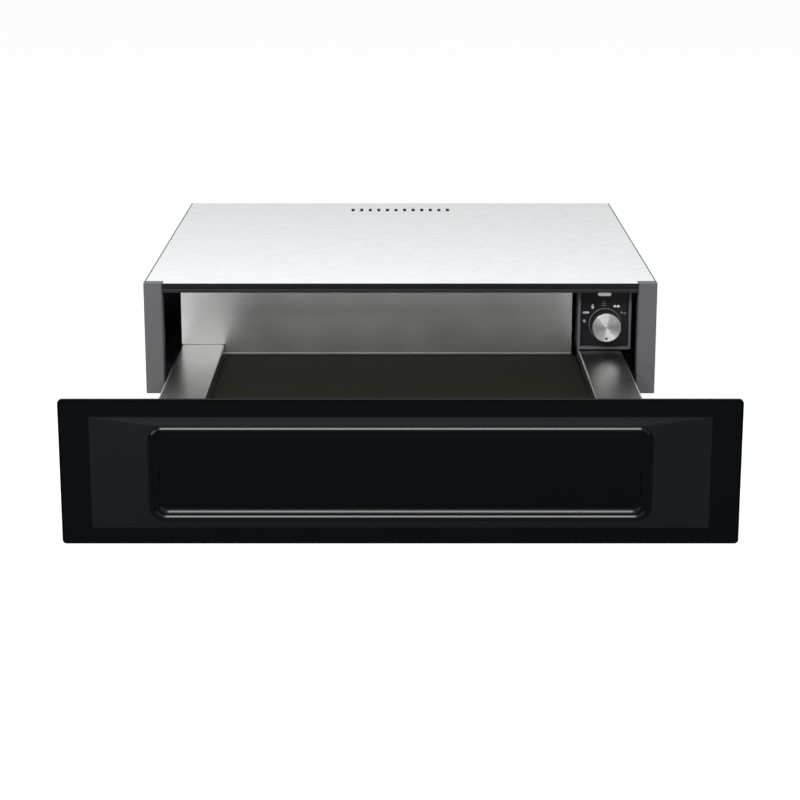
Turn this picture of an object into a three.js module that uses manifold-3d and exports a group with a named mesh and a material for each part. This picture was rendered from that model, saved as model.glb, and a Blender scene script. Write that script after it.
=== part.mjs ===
// Built-in warming drawer, standing open: a sheet steel case, a tray that runs out on
// telescopic runners behind an embossed black front, and a dial in the corner of the opening.
// Millimetres, +Z up, the drawer opens towards -Y and +X is to the right of someone facing it.
import * as THREE from 'three';
import { mergeVertices } from 'three/addons/utils/BufferGeometryUtils.js';
import ManifoldModule from 'manifold-3d';

const kernel = await ManifoldModule();
kernel.setup();

// ---------------------------------------------------------------- driving sizes

// Clearances
const fit = 0.2; // between pieces that are screwed or spot welded together
const runnerPlay = 0.6; // between the nested runner members, where the balls run
const shaftPlay = 0.3; // round a shaft that turns in its hole

// Case
const caseWidth = 545;
const caseHeight = 120;
const caseDepth = 535;
const sheet = 1.2; // steel sheet of the case and the tray
const bend = 0.8; // inside radius of a fold
const flangeWidth = 20; // front face of each side wall
const flangeReturn = 14; // fold back behind the inner edge of that face
const sillHeight = 10; // upturned front edge of the base
const coverLip = 4.8; // downturned front edge of the cover
const railGap = 0.6; // shadow gap round the cover's lip
const railHeight = 4.6;
const railDepth = 14;
const baseBeads = 4; // stiffening beads in the base
const baseBeadPitch = 62;
const baseBeadMargin = 36; // from the front of the base
const baseBeadLength = 367;
const beadRadius = 2.5;
const ventWidth = 4;
const ventLength = 26;
const ventPitch = 11;
const ventCount = 12;
const baseVentInset = 78; // middle of the vents before the rear edge of the base
const coverVentInset = 52;
const rearVentLength = 52;
const rearVentHeight = 22; // lowest end of the rear vents above the underside
const sideVentCount = 6;
const sideVentInset = 26; // hindmost side vent before the rear
const sideVentDrop = 22; // upper end of the side vents below the top

// Drawer front
const frontOverlap = 26; // how far the front reaches past the case, left and right
const frontHeight = 131.2;
const frontDrop = 31.2; // how far the front hangs below the case
const frontSheet = 2;
const frontReturn = 6; // depth of the front's turned-back edge
const frontCorner = 3.5; // corner radius seen from the front
const frontEdgeRadius = 1.8; // rounding of the front's outer edge
const frontDepth = 22; // from the front's border to the back of its carrier
const opening = 416; // from the front's border to the case flanges, as it stands open
const closedGap = 2; // between the carrier and the case flanges when shut
const borderSide = 27; // flat border of the relief, left and right
const borderEnds = 15; // flat border of the relief, above and below
const borderCorner = 2;
const kneeSide = 4; // soft start of the sloping band at the border, left and right
const kneeEnds = 0.8; // the same above and below
const kneeRise = 0.35;
const bevelSide = 51; // width of the sloping band, left and right
const bevelEnds = 8; // width of the sloping band, above and below
const bevelRise = 4; // how far the band comes forward
const frameWidth = 10; // moulded frame between the band and the middle field
const frameTaper = 0.4; // how fast the frame's corners tighten inwards
const ridgeInset = 0.5; // half-round ridge along the frame's outer edge
const ridgeWidth = 4.4;
const ridgeRise = 1.3;
const rampWidth = 4; // ramp along its inner edge, down to the field
const fieldDrop = 2.2; // how far the middle field lies behind the frame
const fieldCorner = 13;

// Carrier behind the front
const carrierInset = 10; // from the front's edges to the carrier's, left and right
const carrierDrop = 8; // the same above and below
const carrierCorner = 5;
const bufferRadius = 4;
const bufferLow = 20; // lower buffers above the case's underside
const bufferDrop = 20; // upper buffers below the front's upper edge

// Tray
const trayGap = 15; // between the tray and the flange beside it
const ledgeWidth = 46.5; // flat top of each tray side
const rimHeight = 44; // top of the ledges above the case's underside
const sideInnerDrop = 30; // inner wall of each tray side
const sideOuterDrop = 24; // outer wall of each tray side
const floorHeight = 28; // underside of the tray floor
const floorGap = 1.2; // between the carrier and the floor's upturned front edge
const rearRoom = 19.4; // between the blower and the rear panel when shut
const trayBeads = 3; // stiffening beads under the floor
const trayBeadPitch = 99;
const trayBeadMargin = 48; // from each end of the tray
const matThickness = 3;
const matMargin = 0.6;
const matCorner = 4;
const wallTop = 106;
const wallSlot = 0.6; // air slot between the mat and the rear wall
const wallHem = 1.8; // folded lower edge of the rear wall
const wallCap = 9; // upper edge of the rear wall, folded back
const wallGap = 4.1; // between the rear wall and the control box

// Runners
const runnerHeight = 27;
const runnerWidth = 12.7;
const runnerStart = 12; // behind the flanges
const runnerRear = 65; // between the case members and the rear edge
const runnerClosedStart = 14; // where the moving members stand when shut, behind the flanges
const runnerHeadroom = 1; // below the fold of the tray side
const runnerSteel = 1.2;
const runnerBend = 1.4; // rounded corners of the runner members, which the balls run in
const bracketSteel = 1.5;
const bracketFoot = 19;
const bracketWindows = 6;
const windowLength = 46;
const windowHeight = 16;
const windowCorner = 4;

// Blower behind the rear wall
const blowerDepth = 74;
const blowerTop = 104;
const intakeSlots = 9;
const intakePitch = 15.4;
const intakeLength = 37;
const impellerRadius = 22;
const impellerLength = 210;
const impellerDrop = 7; // between the drum and the housing's top
const impellerShift = 2; // behind the middle of the housing
const discThickness = 1.5;
const bladeCount = 20;
const bladeThickness = 1;
const bladeCurve = 6.65; // outer radius of a blade's section
const bladeSweep = 0.6; // half the angle that the section turns through
const bladeLean = 0.55; // angle to the drum's radius
const bladeInset = 4.3; // middle of a blade inside the drum's rim
const spindleRadius = 2.5;
const hubRadius = 5.5;
const hubLength = 8;
const scrollGap = 3;
const scrollSheet = 1;
const scrollGrowth = 3; // how much wider the scroll is at its end than at its start
const scrollStart = 76; // degrees above the horizontal
const scrollTurn = 180;
const endPlateSheet = 1.5;
const endPlateMargin = 6; // behind the rear wall
const endPlateChamfer = 15;
const motorSize = 46;
const motorStack = 16; // laminated frame along the spindle
const motorCapRadius = 12.6;
const motorCapLength = 8;
const motorBoreFloor = 3; // closed end of the far bearing cap
const coilWidth = 23;
const coilHeight = 16;
const coilOverhang = 5;
const elementRadius = 3.2;
const elementHairpins = 2;
const elementPitch = 11;
const elementInset = 12; // first row behind the front of the housing
const elementLift = 4; // above the housing's floor
const elementMargin = 14; // between the straight rows and the end plates
const elementTail = 8; // ends beyond the right end plate
const thermostatRadius = 9;
const thermostatFlange = 3;
const thermostatHeight = 10;
const thermostatInset = 30; // from the inner face of the left tray side
const thermostatDrop = 24; // below the housing's top

// Electrical tags of the switch and the thermostat
const tagWidth = 4.8;
const tagThickness = 0.8;
const tagLength = 7;

// Control box
const controlWidth = 57;
const controlGap = 5.4; // to the flange beside it
const controlClearance = 1; // above the ledge that passes beneath
const controlRecess = 15; // front of the bezel behind the flanges
const controlDepth = 62;
const controlWall = 1.6;
const controlCorner = 1.2;
const bezelBand = 3.1;
const bezelDepth = 6;
const bezelCorner = 0.6;
const fasciaThickness = 1.6;
const outletDrop = 14; // cable outlet below the top of the box
const dialHeight = 26.9; // axis above the box's lower edge
const dialShift = 0.9; // axis to the right of the box's middle
const collarRadius = 17.3;
const collarHeight = 1.6;
const collarRim = 2.2; // width of the collar's raised edge
const knobRadius = 15.2;
const knobReach = 21.5; // front of the knob before the fascia
const knobGap = 0.4; // between the knob and its collar
const knobFace = 6; // thickness of the knob's closed end
const knobDish = 0.5; // depth of the spun face
const knobRound = 1; // rounding of its rim
const knobTaper = 0.8; // how much slimmer it is at the collar
const shaftRadius = 3;
const shaftGrip = 17; // length of the shaft inside the switch
const neckRadius = 5; // threaded neck of the switch
const pointerRadius = 1.1;
const pointerDepth = 1.2;
const pointerPlace = 11.1; // from the dial's axis
const switchSize = 32;
const switchDepth = 24;
const switchTags = 4;
const switchTagPitch = 7.3;
const switchTagDrop = 8.6; // below the axis
const lensWidth = 14;
const lensHeight = 3.4;
const lensFlange = 1.5; // rim behind the fascia, beyond the lens all round
const lensFlangeThickness = 3;
const lensProud = 0.4;
const lensTop = 14.6; // lens centre below the top of the box

// Push latch, terminal box and cable inlet
const latchWidth = 28;
const latchLength = 40;
const latchHeight = 20;
const latchChamfer = 7;
const latchInset = 9; // between the latch and the rear edge of the case
const earReach = 14; // fixing ears to each side of the latch
const earLength = 14;
const earInset = 8;
const earThickness = 2.5;
const plungerRadius = 4;
const plungerReach = 12;
const plungerTail = 20; // inside the latch
const plungerTravel = 6;
const springRoom = 4; // behind the plunger when it is pressed in
const strikerGap = 0.5;
const strikerWidth = 19.6;
const strikerLeg = 26; // along the tray floor
const strikerFoot = 3; // above the base
const terminalWidth = 46;
const terminalDepth = 58;
const terminalHeight = 34;
const terminalBase = 62; // underside above the case's underside
const terminalRibs = 3;
const terminalRibPitch = 13.8;
const terminalRibWidth = 2;
const terminalRibRise = 1.5;
const terminalRibInset = 4;
const entryDepth = 20; // bore into the box for the supply
const glandRadius = 8;
const glandBore = 4.6;
const glandRim = 2.5; // beyond the hole all round
const glandNose = 4; // behind the rear panel

// ---------------------------------------------------------------- places worked out from them

const caseHalf = caseWidth / 2;
const openingHalf = caseHalf - flangeWidth;
const insideHalf = caseHalf - sheet - fit;
const frontWidth = caseWidth + 2 * frontOverlap;
const trayHalf = openingHalf - trayGap;
const wellHalf = trayHalf - ledgeWidth; // inner faces of the tray sides
const carrierBack = -(opening - frontDepth); // carrier's rear face from the flanges
const travelShut = -carrierBack - closedGap;
const matBottom = floorHeight + sheet + fit;
const matTop = matBottom + matThickness;
const railTop = caseHeight - coverLip - railGap;
const controlRight = openingHalf - controlGap;
const controlLeft = controlRight - controlWidth;
const controlBottom = rimHeight + controlClearance;
const controlTop = caseHeight - sheet - fit;
const controlMiddle = (controlLeft + controlRight) / 2;
const fasciaPlane = controlRecess + bezelDepth;
const dialX = controlMiddle + dialShift;
const dialZ = controlBottom + dialHeight;
const wallRight = Math.min(controlLeft - wallGap, wellHalf - fit);
const runnerTop = rimHeight - sheet - bend - runnerHeadroom;
const runnerBottom = runnerTop - runnerHeight;
const runnerInner = wellHalf + sheet + fit;
const runnerOuter = runnerInner + runnerWidth;
const blowerHalf = wallRight - fit;
const blowerBack = caseDepth - sheet - rearRoom - closedGap; // from the carrier
const blowerFront = blowerBack - blowerDepth;
const trayLength = blowerFront - fit - sheet; // from the carrier to the rear wall
const runnerLength = caseDepth - runnerRear - runnerStart;
const latchStart = caseDepth - latchInset - latchLength; // behind the flanges
const impellerY = blowerFront + blowerDepth / 2 + impellerShift;
const impellerZ = blowerTop - sheet - impellerDrop - impellerRadius;
const endPlateX = impellerLength / 2 + scrollGap + fit; // inner faces of the scroll's end plates
const motorRight = endPlateX + endPlateSheet + fit; // face of the motor beside the left end plate
const motorLength = motorStack + 2 * motorCapLength;
const shaftRear = fasciaThickness + fit + shaftGrip; // from the fascia's face
const elementRows = 2 * elementHairpins;
const elementZ = matBottom + sheet + elementLift + elementRadius;
const latchAxis = sheet + fit + latchHeight / 2;
const terminalAxis = terminalBase + terminalHeight / 2;

// ---------------------------------------------------------------- finishes

function finish(color, roughness, metalness) {
  return new THREE.MeshStandardMaterial({ color, roughness, metalness });
}

const blackEnamel = finish('#0a0a0c', 0.12, 0.1);
const graphitePaint = finish('#5c5c5e', 0.45, 0.4);
const brushedSteel = finish('#8c8c8c', 0.35, 1);
const galvanised = finish('#8f9496', 0.45, 0.9);
const zincSteel = finish('#b3b6b8', 0.3, 1);
const spunAluminium = finish('#c4c4c4', 0.25, 1);
const blackPlastic = finish('#1c1c1e', 0.5, 0);
const greyPlastic = finish('#44464a', 0.5, 0);
const fasciaBlack = finish('#1d1d1f', 0.35, 0);
const matRubber = finish('#22221c', 0.8, 0);
const softRubber = finish('#2a2a2a', 0.85, 0);
const lensPlastic = finish('#b8b8b4', 0.3, 0);
const whitePlastic = finish('#d8d8d2', 0.5, 0);
const heaterSheath = finish('#4a4540', 0.5, 0.8);

// ---------------------------------------------------------------- shape helpers

const alongX = new THREE.Matrix4().makeBasis(
  new THREE.Vector3(0, 1, 0),
  new THREE.Vector3(0, 0, 1),
  new THREE.Vector3(1, 0, 0),
);

// Outline in X and Y, drawn up from z0 to z1
function extrudeZ(shape, z0, z1, curveSegments = 6) {
  const options = { depth: z1 - z0, bevelEnabled: false, curveSegments };
  return new THREE.ExtrudeGeometry(shape, options).translate(0, 0, z0);
}

// Outline in X and Z, drawn back from y0 to y1
function extrudeY(shape, y0, y1, curveSegments = 6) {
  const options = { depth: y1 - y0, bevelEnabled: false, curveSegments };
  return new THREE.ExtrudeGeometry(shape, options).rotateX(Math.PI / 2).translate(0, y1, 0);
}

// Outline in Y and Z, drawn across from x0 to x1
function extrudeX(shape, x0, x1, curveSegments = 6) {
  const options = { depth: x1 - x0, bevelEnabled: false, curveSegments };
  return new THREE.ExtrudeGeometry(shape, options).applyMatrix4(alongX).translate(x0, 0, 0);
}

function block(x0, x1, y0, y1, z0, z1) {
  const box = new THREE.BoxGeometry(x1 - x0, y1 - y0, z1 - z0);
  return box.translate((x0 + x1) / 2, (y0 + y1) / 2, (z0 + z1) / 2);
}

function rodX(radius, x0, x1, segments) {
  const rod = new THREE.CylinderGeometry(radius, radius, x1 - x0, segments);
  return rod.rotateZ(-Math.PI / 2).translate((x0 + x1) / 2, 0, 0);
}

function rodY(radius, y0, y1, segments) {
  const rod = new THREE.CylinderGeometry(radius, radius, y1 - y0, segments);
  return rod.translate(0, (y0 + y1) / 2, 0);
}

const polygon = (points) => new THREE.Shape(points.map(([a, b]) => new THREE.Vector2(a, b)));

// Turned about the Y axis from [radius, y] pairs
function turned(pairs, segments) {
  const points = pairs.map(([radius, y]) => new THREE.Vector2(radius, y));
  return new THREE.LatheGeometry(points, segments);
}

// Round hole of a plate's outline
function roundHole(cx, cy, radius, segments = 20) {
  const points = [];
  for (let k = 0; k < segments; k += 1) {
    const angle = (2 * Math.PI * k) / segments;
    points.push(new THREE.Vector2(cx + radius * Math.cos(angle), cy + radius * Math.sin(angle)));
  }
  return new THREE.Path(points);
}

// Rectangle with rounded corners, centred on (cx, cy)
function roundedRect(width, height, radius, cx = 0, cy = 0, Kind = THREE.Shape) {
  const outline = new Kind();
  const x = width / 2 - radius;
  const y = height / 2 - radius;
  outline.absarc(cx + x, cy + y, radius, 0, Math.PI / 2, false);
  outline.absarc(cx - x, cy + y, radius, Math.PI / 2, Math.PI, false);
  outline.absarc(cx - x, cy - y, radius, Math.PI, 1.5 * Math.PI, false);
  outline.absarc(cx + x, cy - y, radius, 1.5 * Math.PI, 2 * Math.PI, false);
  outline.closePath();
  return outline;
}

// Section of a folded sheet: `line` is one face, the thickness lies to its left
function foldedSheet(line, thickness, radius, steps = 3) {
  const faceA = [];
  const faceB = [];
  const direction = (a, b) => new THREE.Vector2(b[0] - a[0], b[1] - a[1]).normalize();
  const leftOf = (d) => new THREE.Vector2(-d.y, d.x);
  const at = (p) => new THREE.Vector2(p[0], p[1]);
  const last = line.length - 1;
  const first = leftOf(direction(line[0], line[1]));
  faceA.push(at(line[0]));
  faceB.push(at(line[0]).addScaledVector(first, thickness));
  for (let i = 1; i < last; i += 1) {
    const d1 = direction(line[i - 1], line[i]);
    const d2 = direction(line[i], line[i + 1]);
    const turn = Math.atan2(d1.cross(d2), d1.dot(d2));
    const side = Math.sign(turn);
    const radiusA = side > 0 ? radius + thickness : radius;
    const tangent = radiusA * Math.tan(Math.abs(turn) / 2);
    const centre = at(line[i]).addScaledVector(d1, -tangent);
    centre.addScaledVector(leftOf(d1), side * radiusA);
    for (let k = 0; k <= steps; k += 1) {
      const spoke = leftOf(d1).multiplyScalar(-side);
      spoke.rotateAround(new THREE.Vector2(), (turn * k) / steps);
      faceA.push(centre.clone().addScaledVector(spoke, radiusA));
      faceB.push(centre.clone().addScaledVector(spoke, radiusA - side * thickness));
    }
  }
  const end = leftOf(direction(line[last - 1], line[last]));
  faceA.push(at(line[last]));
  faceB.push(at(line[last]).addScaledVector(end, thickness));
  return new THREE.Shape([...faceA, ...faceB.reverse()]);
}

function toSolid(geometry) {
  const bare = new THREE.BufferGeometry();
  bare.setAttribute('position', geometry.getAttribute('position').clone());
  bare.setIndex(geometry.index ? geometry.index.clone() : null);
  const merged = mergeVertices(bare, 1e-4);
  const mesh = new kernel.Mesh({
    numProp: 3,
    vertProperties: new Float32Array(merged.getAttribute('position').array),
    triVerts: new Uint32Array(merged.index.array),
  });
  return new kernel.Manifold(mesh);
}

function toGeometry(solid) {
  const mesh = solid.getMesh();
  const geometry = new THREE.BufferGeometry();
  geometry.setAttribute('position', new THREE.BufferAttribute(mesh.vertProperties, 3));
  geometry.setIndex(new THREE.BufferAttribute(mesh.triVerts, 1));
  geometry.computeVertexNormals();
  return geometry;
}

function joined(...geometries) {
  return toGeometry(geometries.map(toSolid).reduce((all, next) => all.add(next)));
}

function cut(geometry, ...tools) {
  const solids = tools.map(toSolid);
  return toGeometry(solids.reduce((left, tool) => left.subtract(tool), toSolid(geometry)));
}

function piece(parent, name, geometry, material) {
  const mesh = new THREE.Mesh(geometry, material);
  mesh.name = name;
  parent.add(mesh);
  return mesh;
}

// ---------------------------------------------------------------- case

// Upright slot with round ends
function slotShape(cx, cy, width, length, Kind) {
  const outline = new Kind();
  const straight = (length - width) / 2;
  outline.absarc(cx, cy + straight, width / 2, 0, Math.PI, false);
  outline.absarc(cx, cy - straight, width / 2, Math.PI, 2 * Math.PI, false);
  outline.closePath();
  return outline;
}

// Row of upright slots in a plate's outline, about its middle
function addVents(outline, centre, length) {
  for (let i = 0; i < ventCount; i += 1) {
    const x = (i - (ventCount - 1) / 2) * ventPitch;
    outline.holes.push(slotShape(x, centre, ventWidth, length, THREE.Path));
  }
}

// Half-round beads pressed into a sheet at height z, raised upwards or downwards
function pressedBeads({ count, pitch, front, back, z, upwards }) {
  const beads = [];
  for (let i = 0; i < count; i += 1) {
    const arch = new THREE.Shape();
    const from = upwards ? 0 : Math.PI;
    arch.absarc((i - (count - 1) / 2) * pitch, z, beadRadius, from, from + Math.PI, false);
    beads.push(extrudeY(arch, front, back, 5));
  }
  return beads;
}

// Base and cover alike: narrow between the flange returns, then the full inside width
function caseSheetOutline(front, back, neckHalf) {
  const shoulder = flangeReturn + fit;
  return polygon([
    [-neckHalf, front],
    [neckHalf, front],
    [neckHalf, shoulder],
    [insideHalf, shoulder],
    [insideHalf, back],
    [-insideHalf, back],
    [-insideHalf, shoulder],
    [-neckHalf, shoulder],
  ]);
}

function caseBase() {
  const back = caseDepth - sheet - fit;
  const front = sheet + fit;
  const neckHalf = openingHalf - fit;
  const outline = caseSheetOutline(front, back, neckHalf);
  addVents(outline, back - baseVentInset, ventLength);
  const sill = block(-neckHalf, neckHalf, front, front + sheet, 0, sillHeight);
  const beads = pressedBeads({
    count: baseBeads,
    pitch: baseBeadPitch,
    front: front + baseBeadMargin,
    back: front + baseBeadMargin + baseBeadLength,
    z: sheet / 2,
    upwards: true,
  });
  return joined(extrudeZ(outline, 0, sheet, 2), sill, ...beads);
}

// Side wall with the front flange, its return and the tabs that close this corner post above
// and below, and a column of vents near the rear
function caseSide(side) {
  const line = [
    [side * openingHalf, flangeReturn],
    [side * openingHalf, 0],
    [side * caseHalf, 0],
    [side * caseHalf, caseDepth],
  ];
  const section = foldedSheet(side > 0 ? line : line.reverse(), sheet, bend);
  const wall = extrudeZ(section, 0, caseHeight);
  const post = side * (caseHalf - flangeWidth / 2);
  const postHalf = (flangeWidth - sheet) / 2;
  const tab = (z) => block(post - postHalf, post + postHalf, sheet / 2, flangeReturn, z, z + sheet);
  const vents = [];
  const ventMiddle = caseHeight - sideVentDrop - ventLength / 2;
  for (let i = 0; i < sideVentCount; i += 1) {
    const y = caseDepth - sideVentInset - i * ventPitch;
    const x = side * (caseHalf - sheet / 2);
    const slot = slotShape(y, ventMiddle, ventWidth, ventLength, THREE.Shape);
    vents.push(extrudeX(slot, x - sheet, x + sheet, 2));
  }
  return cut(joined(wall, tab(0), tab(caseHeight - sheet)), ...vents);
}

function rearPanel() {
  const panel = polygon([
    [-insideHalf, sheet + fit],
    [insideHalf, sheet + fit],
    [insideHalf, controlTop],
    [-insideHalf, controlTop],
  ]);
  addVents(panel, rearVentHeight + rearVentLength / 2, rearVentLength);
  panel.holes.push(roundHole(controlMiddle, terminalAxis, glandRadius + fit));
  return extrudeY(panel, caseDepth - sheet, caseDepth, 2);
}

// Cover between the side walls; its front edge turns down between the flanges
function topCover() {
  const lipHalf = openingHalf - railGap;
  const outline = caseSheetOutline(0, caseDepth, lipHalf);
  addVents(outline, caseDepth - coverVentInset, ventLength);
  const lip = block(-lipHalf, lipHalf, 0, sheet, caseHeight - coverLip, caseHeight);
  return joined(extrudeZ(outline, caseHeight - sheet, caseHeight, 2), lip);
}

// Folded rail under the cover's lip, with a rear leg that stiffens it
function frontRail() {
  const line = [
    [railDepth, railTop - railHeight],
    [railDepth, railTop],
    [0, railTop],
    [0, railTop - railHeight],
  ];
  return extrudeX(foldedSheet(line, sheet, bend), -openingHalf + fit, openingHalf - fit);
}

// Box behind the inlet, with ribs across its lid and a bore where the supply enters
function terminalBox() {
  const back = caseDepth - sheet - fit;
  const front = back - terminalDepth;
  const top = terminalBase + terminalHeight;
  const half = terminalWidth / 2;
  const body = block(controlMiddle - half, controlMiddle + half, front, back, terminalBase, top);
  const ribs = [];
  for (let i = 0; i < terminalRibs; i += 1) {
    const x = controlMiddle + (i - (terminalRibs - 1) / 2) * terminalRibPitch - terminalRibWidth / 2;
    const [y0, y1] = [front + terminalRibInset, back - terminalRibInset];
    ribs.push(block(x, x + terminalRibWidth, y0, y1, top - terminalRibRise, top + terminalRibRise));
  }
  const entry = rodY(glandBore, back - entryDepth, back + sheet, 16);
  return cut(joined(body, ...ribs), entry.translate(controlMiddle, 0, terminalAxis));
}

// Rubber bush in the rear panel where the supply enters
function cableGland() {
  const inner = caseDepth - sheet - fit / 2;
  const seat = caseDepth + fit;
  const nose = caseDepth + glandNose;
  const rim = glandRadius + glandRim;
  const profile = [
    [glandBore, inner],
    [glandRadius, inner],
    [glandRadius, seat],
    [rim, seat],
    [rim, (seat + nose) / 2],
    [glandRadius, nose],
    [glandBore, nose],
    [glandBore, inner],
  ];
  return turned(profile, 20);
}

// ---------------------------------------------------------------- runners

// Channel section; `open` is the side its mouth faces along X
function channelSection(x0, x1, z0, z1, open) {
  const webX = open > 0 ? x0 : x1;
  const mouthX = open > 0 ? x1 : x0;
  const line = [
    [mouthX, z0],
    [webX, z0],
    [webX, z1],
    [mouthX, z1],
  ];
  return foldedSheet(open > 0 ? line.reverse() : line, runnerSteel, runnerBend, 4);
}

// Three nested channels: one on the case, one on the tray and one between them
function runnerSet(side) {
  const step = runnerSteel + runnerPlay;
  const span = (from, to) => (side > 0 ? [from, to] : [-to, -from]);
  const member = (from, to, inset, open) => {
    const [x0, x1] = span(from, to);
    return channelSection(x0, x1, runnerBottom + inset, runnerTop - inset, open * side);
  };
  const mouth = runnerInner + step;
  return {
    fixed: member(mouth + step, runnerOuter, 0, -1),
    middle: member(mouth + runnerPlay, runnerOuter - step, step, -1),
    moving: member(runnerInner, runnerOuter - 2 * step, 2 * step, 1),
  };
}

// Long angle that carries the case member off the base, lightened by a row of windows
function runnerBracket(side) {
  const inner = runnerOuter + fit;
  const foot = sheet + fit;
  const line = [
    [side * inner, runnerTop],
    [side * inner, foot],
    [side * (inner + bracketFoot), foot],
  ];
  const section = foldedSheet(side > 0 ? line : line.reverse(), bracketSteel, bend);
  const angle = extrudeY(section, runnerStart, runnerStart + runnerLength);
  const pitch = runnerLength / bracketWindows;
  const windows = [];
  for (let i = 0; i < bracketWindows; i += 1) {
    const y = runnerStart + pitch * (i + 1 / 2);
    const slot = roundedRect(windowLength, windowHeight, windowCorner, y, (foot + runnerTop) / 2);
    const x = side * (inner + bracketSteel / 2);
    windows.push(extrudeX(slot, x - bracketSteel, x + bracketSteel, 1));
  }
  return cut(angle, ...windows);
}

// ---------------------------------------------------------------- tray

// Hollow side of the tray: the flat ledge with an inner and an outer wall
function traySide(side) {
  const line = [
    [side * wellHalf, rimHeight - sideInnerDrop],
    [side * wellHalf, rimHeight],
    [side * trayHalf, rimHeight],
    [side * trayHalf, rimHeight - sideOuterDrop],
  ];
  const section = foldedSheet(side > 0 ? line.reverse() : line, sheet, bend);
  return extrudeY(section, fit, blowerBack);
}

function trayFloor() {
  const half = wellHalf - fit;
  const line = [
    [floorGap, matTop],
    [floorGap, floorHeight],
    [blowerBack, floorHeight],
  ];
  const pan = extrudeX(foldedSheet(line, sheet, bend), -half, half);
  const beads = pressedBeads({
    count: trayBeads,
    pitch: trayBeadPitch,
    front: trayBeadMargin,
    back: trayLength - trayBeadMargin,
    z: floorHeight + sheet / 2,
    upwards: false,
  });
  return joined(pan, ...beads);
}

// Brushed rear wall: it stands on the ledge at the left and reaches down to the mat between them
function rearWall() {
  const overLedge = rimHeight + fit;
  const foot = matTop + wallSlot;
  const well = wellHalf - fit;
  const outline = polygon([
    [-trayHalf, overLedge],
    [-well, overLedge],
    [-well, foot],
    [wallRight, foot],
    [wallRight, wallTop],
    [-trayHalf, wallTop],
  ]);
  const wall = extrudeY(outline, trayLength, trayLength + sheet);
  const hemFront = trayLength - wallHem / 2;
  const hem = block(-well, wallRight, hemFront, trayLength + sheet / 2, foot, foot + wallHem);
  const cap = block(-trayHalf, wallRight, trayLength, trayLength + wallCap, wallTop - sheet, wallTop);
  return joined(wall, hem, cap);
}

function antiSlipMat() {
  const front = floorGap + sheet + matMargin;
  const back = trayLength - matMargin;
  const half = wellHalf - fit - matMargin;
  const outline = roundedRect(2 * half, back - front, matCorner, 0, (front + back) / 2);
  return extrudeZ(outline, matBottom, matTop, 3);
}

// ---------------------------------------------------------------- drawer front

// Points round a rounded rectangle in X and Z, the same count whatever its size
function rectangleLoop({ x, z, corner, y }, steps = 3) {
  const loop = [];
  const middle = frontHeight / 2 - frontDrop;
  const corners = [
    [1, 1],
    [-1, 1],
    [-1, -1],
    [1, -1],
  ];
  corners.forEach(([sx, sz], quarter) => {
    for (let k = 0; k <= steps; k += 1) {
      const angle = (quarter + k / steps) * (Math.PI / 2);
      const px = sx * (x - corner) + corner * Math.cos(angle);
      const pz = middle + sz * (z - corner) + corner * Math.sin(angle);
      loop.push([px, y, pz]);
    }
  });
  return loop;
}

// Closed skin through a list of loops, capped across the first and the last
function loft(loops) {
  const count = loops[0].length;
  const positions = loops.flat(2);
  const index = [];
  for (let i = 0; i + 1 < loops.length; i += 1) {
    for (let k = 0; k < count; k += 1) {
      const a = i * count + k;
      const b = i * count + ((k + 1) % count);
      index.push(a, a + count, b, b, a + count, b + count);
    }
  }
  const cap = (row, flip) => {
    for (let k = 1; k + 1 < count; k += 1) {
      const ring = [row * count, row * count + k, row * count + k + 1];
      index.push(...(flip ? ring.reverse() : ring));
    }
  };
  cap(0, false);
  cap(loops.length - 1, true);
  const geometry = new THREE.BufferGeometry();
  geometry.setAttribute('position', new THREE.Float32BufferAttribute(positions, 3));
  geometry.setIndex(index);
  return geometry;
}

// Section of the moulded frame from the field outwards, as [inset from its foot, height]: an
// S-shaped ramp, a narrow flat and a half-round ridge
function frameSection() {
  const section = [];
  const rampSteps = 4;
  for (let k = 0; k <= rampSteps; k += 1) {
    const share = k / rampSteps;
    const height = (fieldDrop * (1 + Math.cos(Math.PI * share))) / 2;
    section.push([frameWidth - rampWidth * share, -height]);
  }
  const half = ridgeWidth / 2;
  const radius = (half ** 2 + ridgeRise ** 2) / (2 * ridgeRise);
  const reach = Math.asin(half / radius);
  const ridgeSteps = 6;
  for (let k = 0; k <= ridgeSteps; k += 1) {
    const angle = reach * (1 - (2 * k) / ridgeSteps);
    const inset = ridgeInset + half + radius * Math.sin(angle);
    section.push([inset, ridgeRise - radius * (1 - Math.cos(angle))]);
  }
  return [...section, [0, 0]];
}

// Relief of the front from its middle field out to its flat border, as loops of the outer face
function reliefLoops() {
  const x = frontWidth / 2 - borderSide;
  const z = frontHeight / 2 - borderEnds;
  const frame = frameSection().map(([inset, height]) => ({
    x: x - bevelSide - inset,
    z: z - bevelEnds - inset,
    corner: fieldCorner - inset * frameTaper,
    y: -bevelRise - height,
  }));
  return [
    ...frame,
    { x: x - kneeSide, z: z - kneeEnds, corner: borderCorner, y: -kneeRise },
    { x, z, corner: borderCorner, y: 0 },
  ];
}

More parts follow.
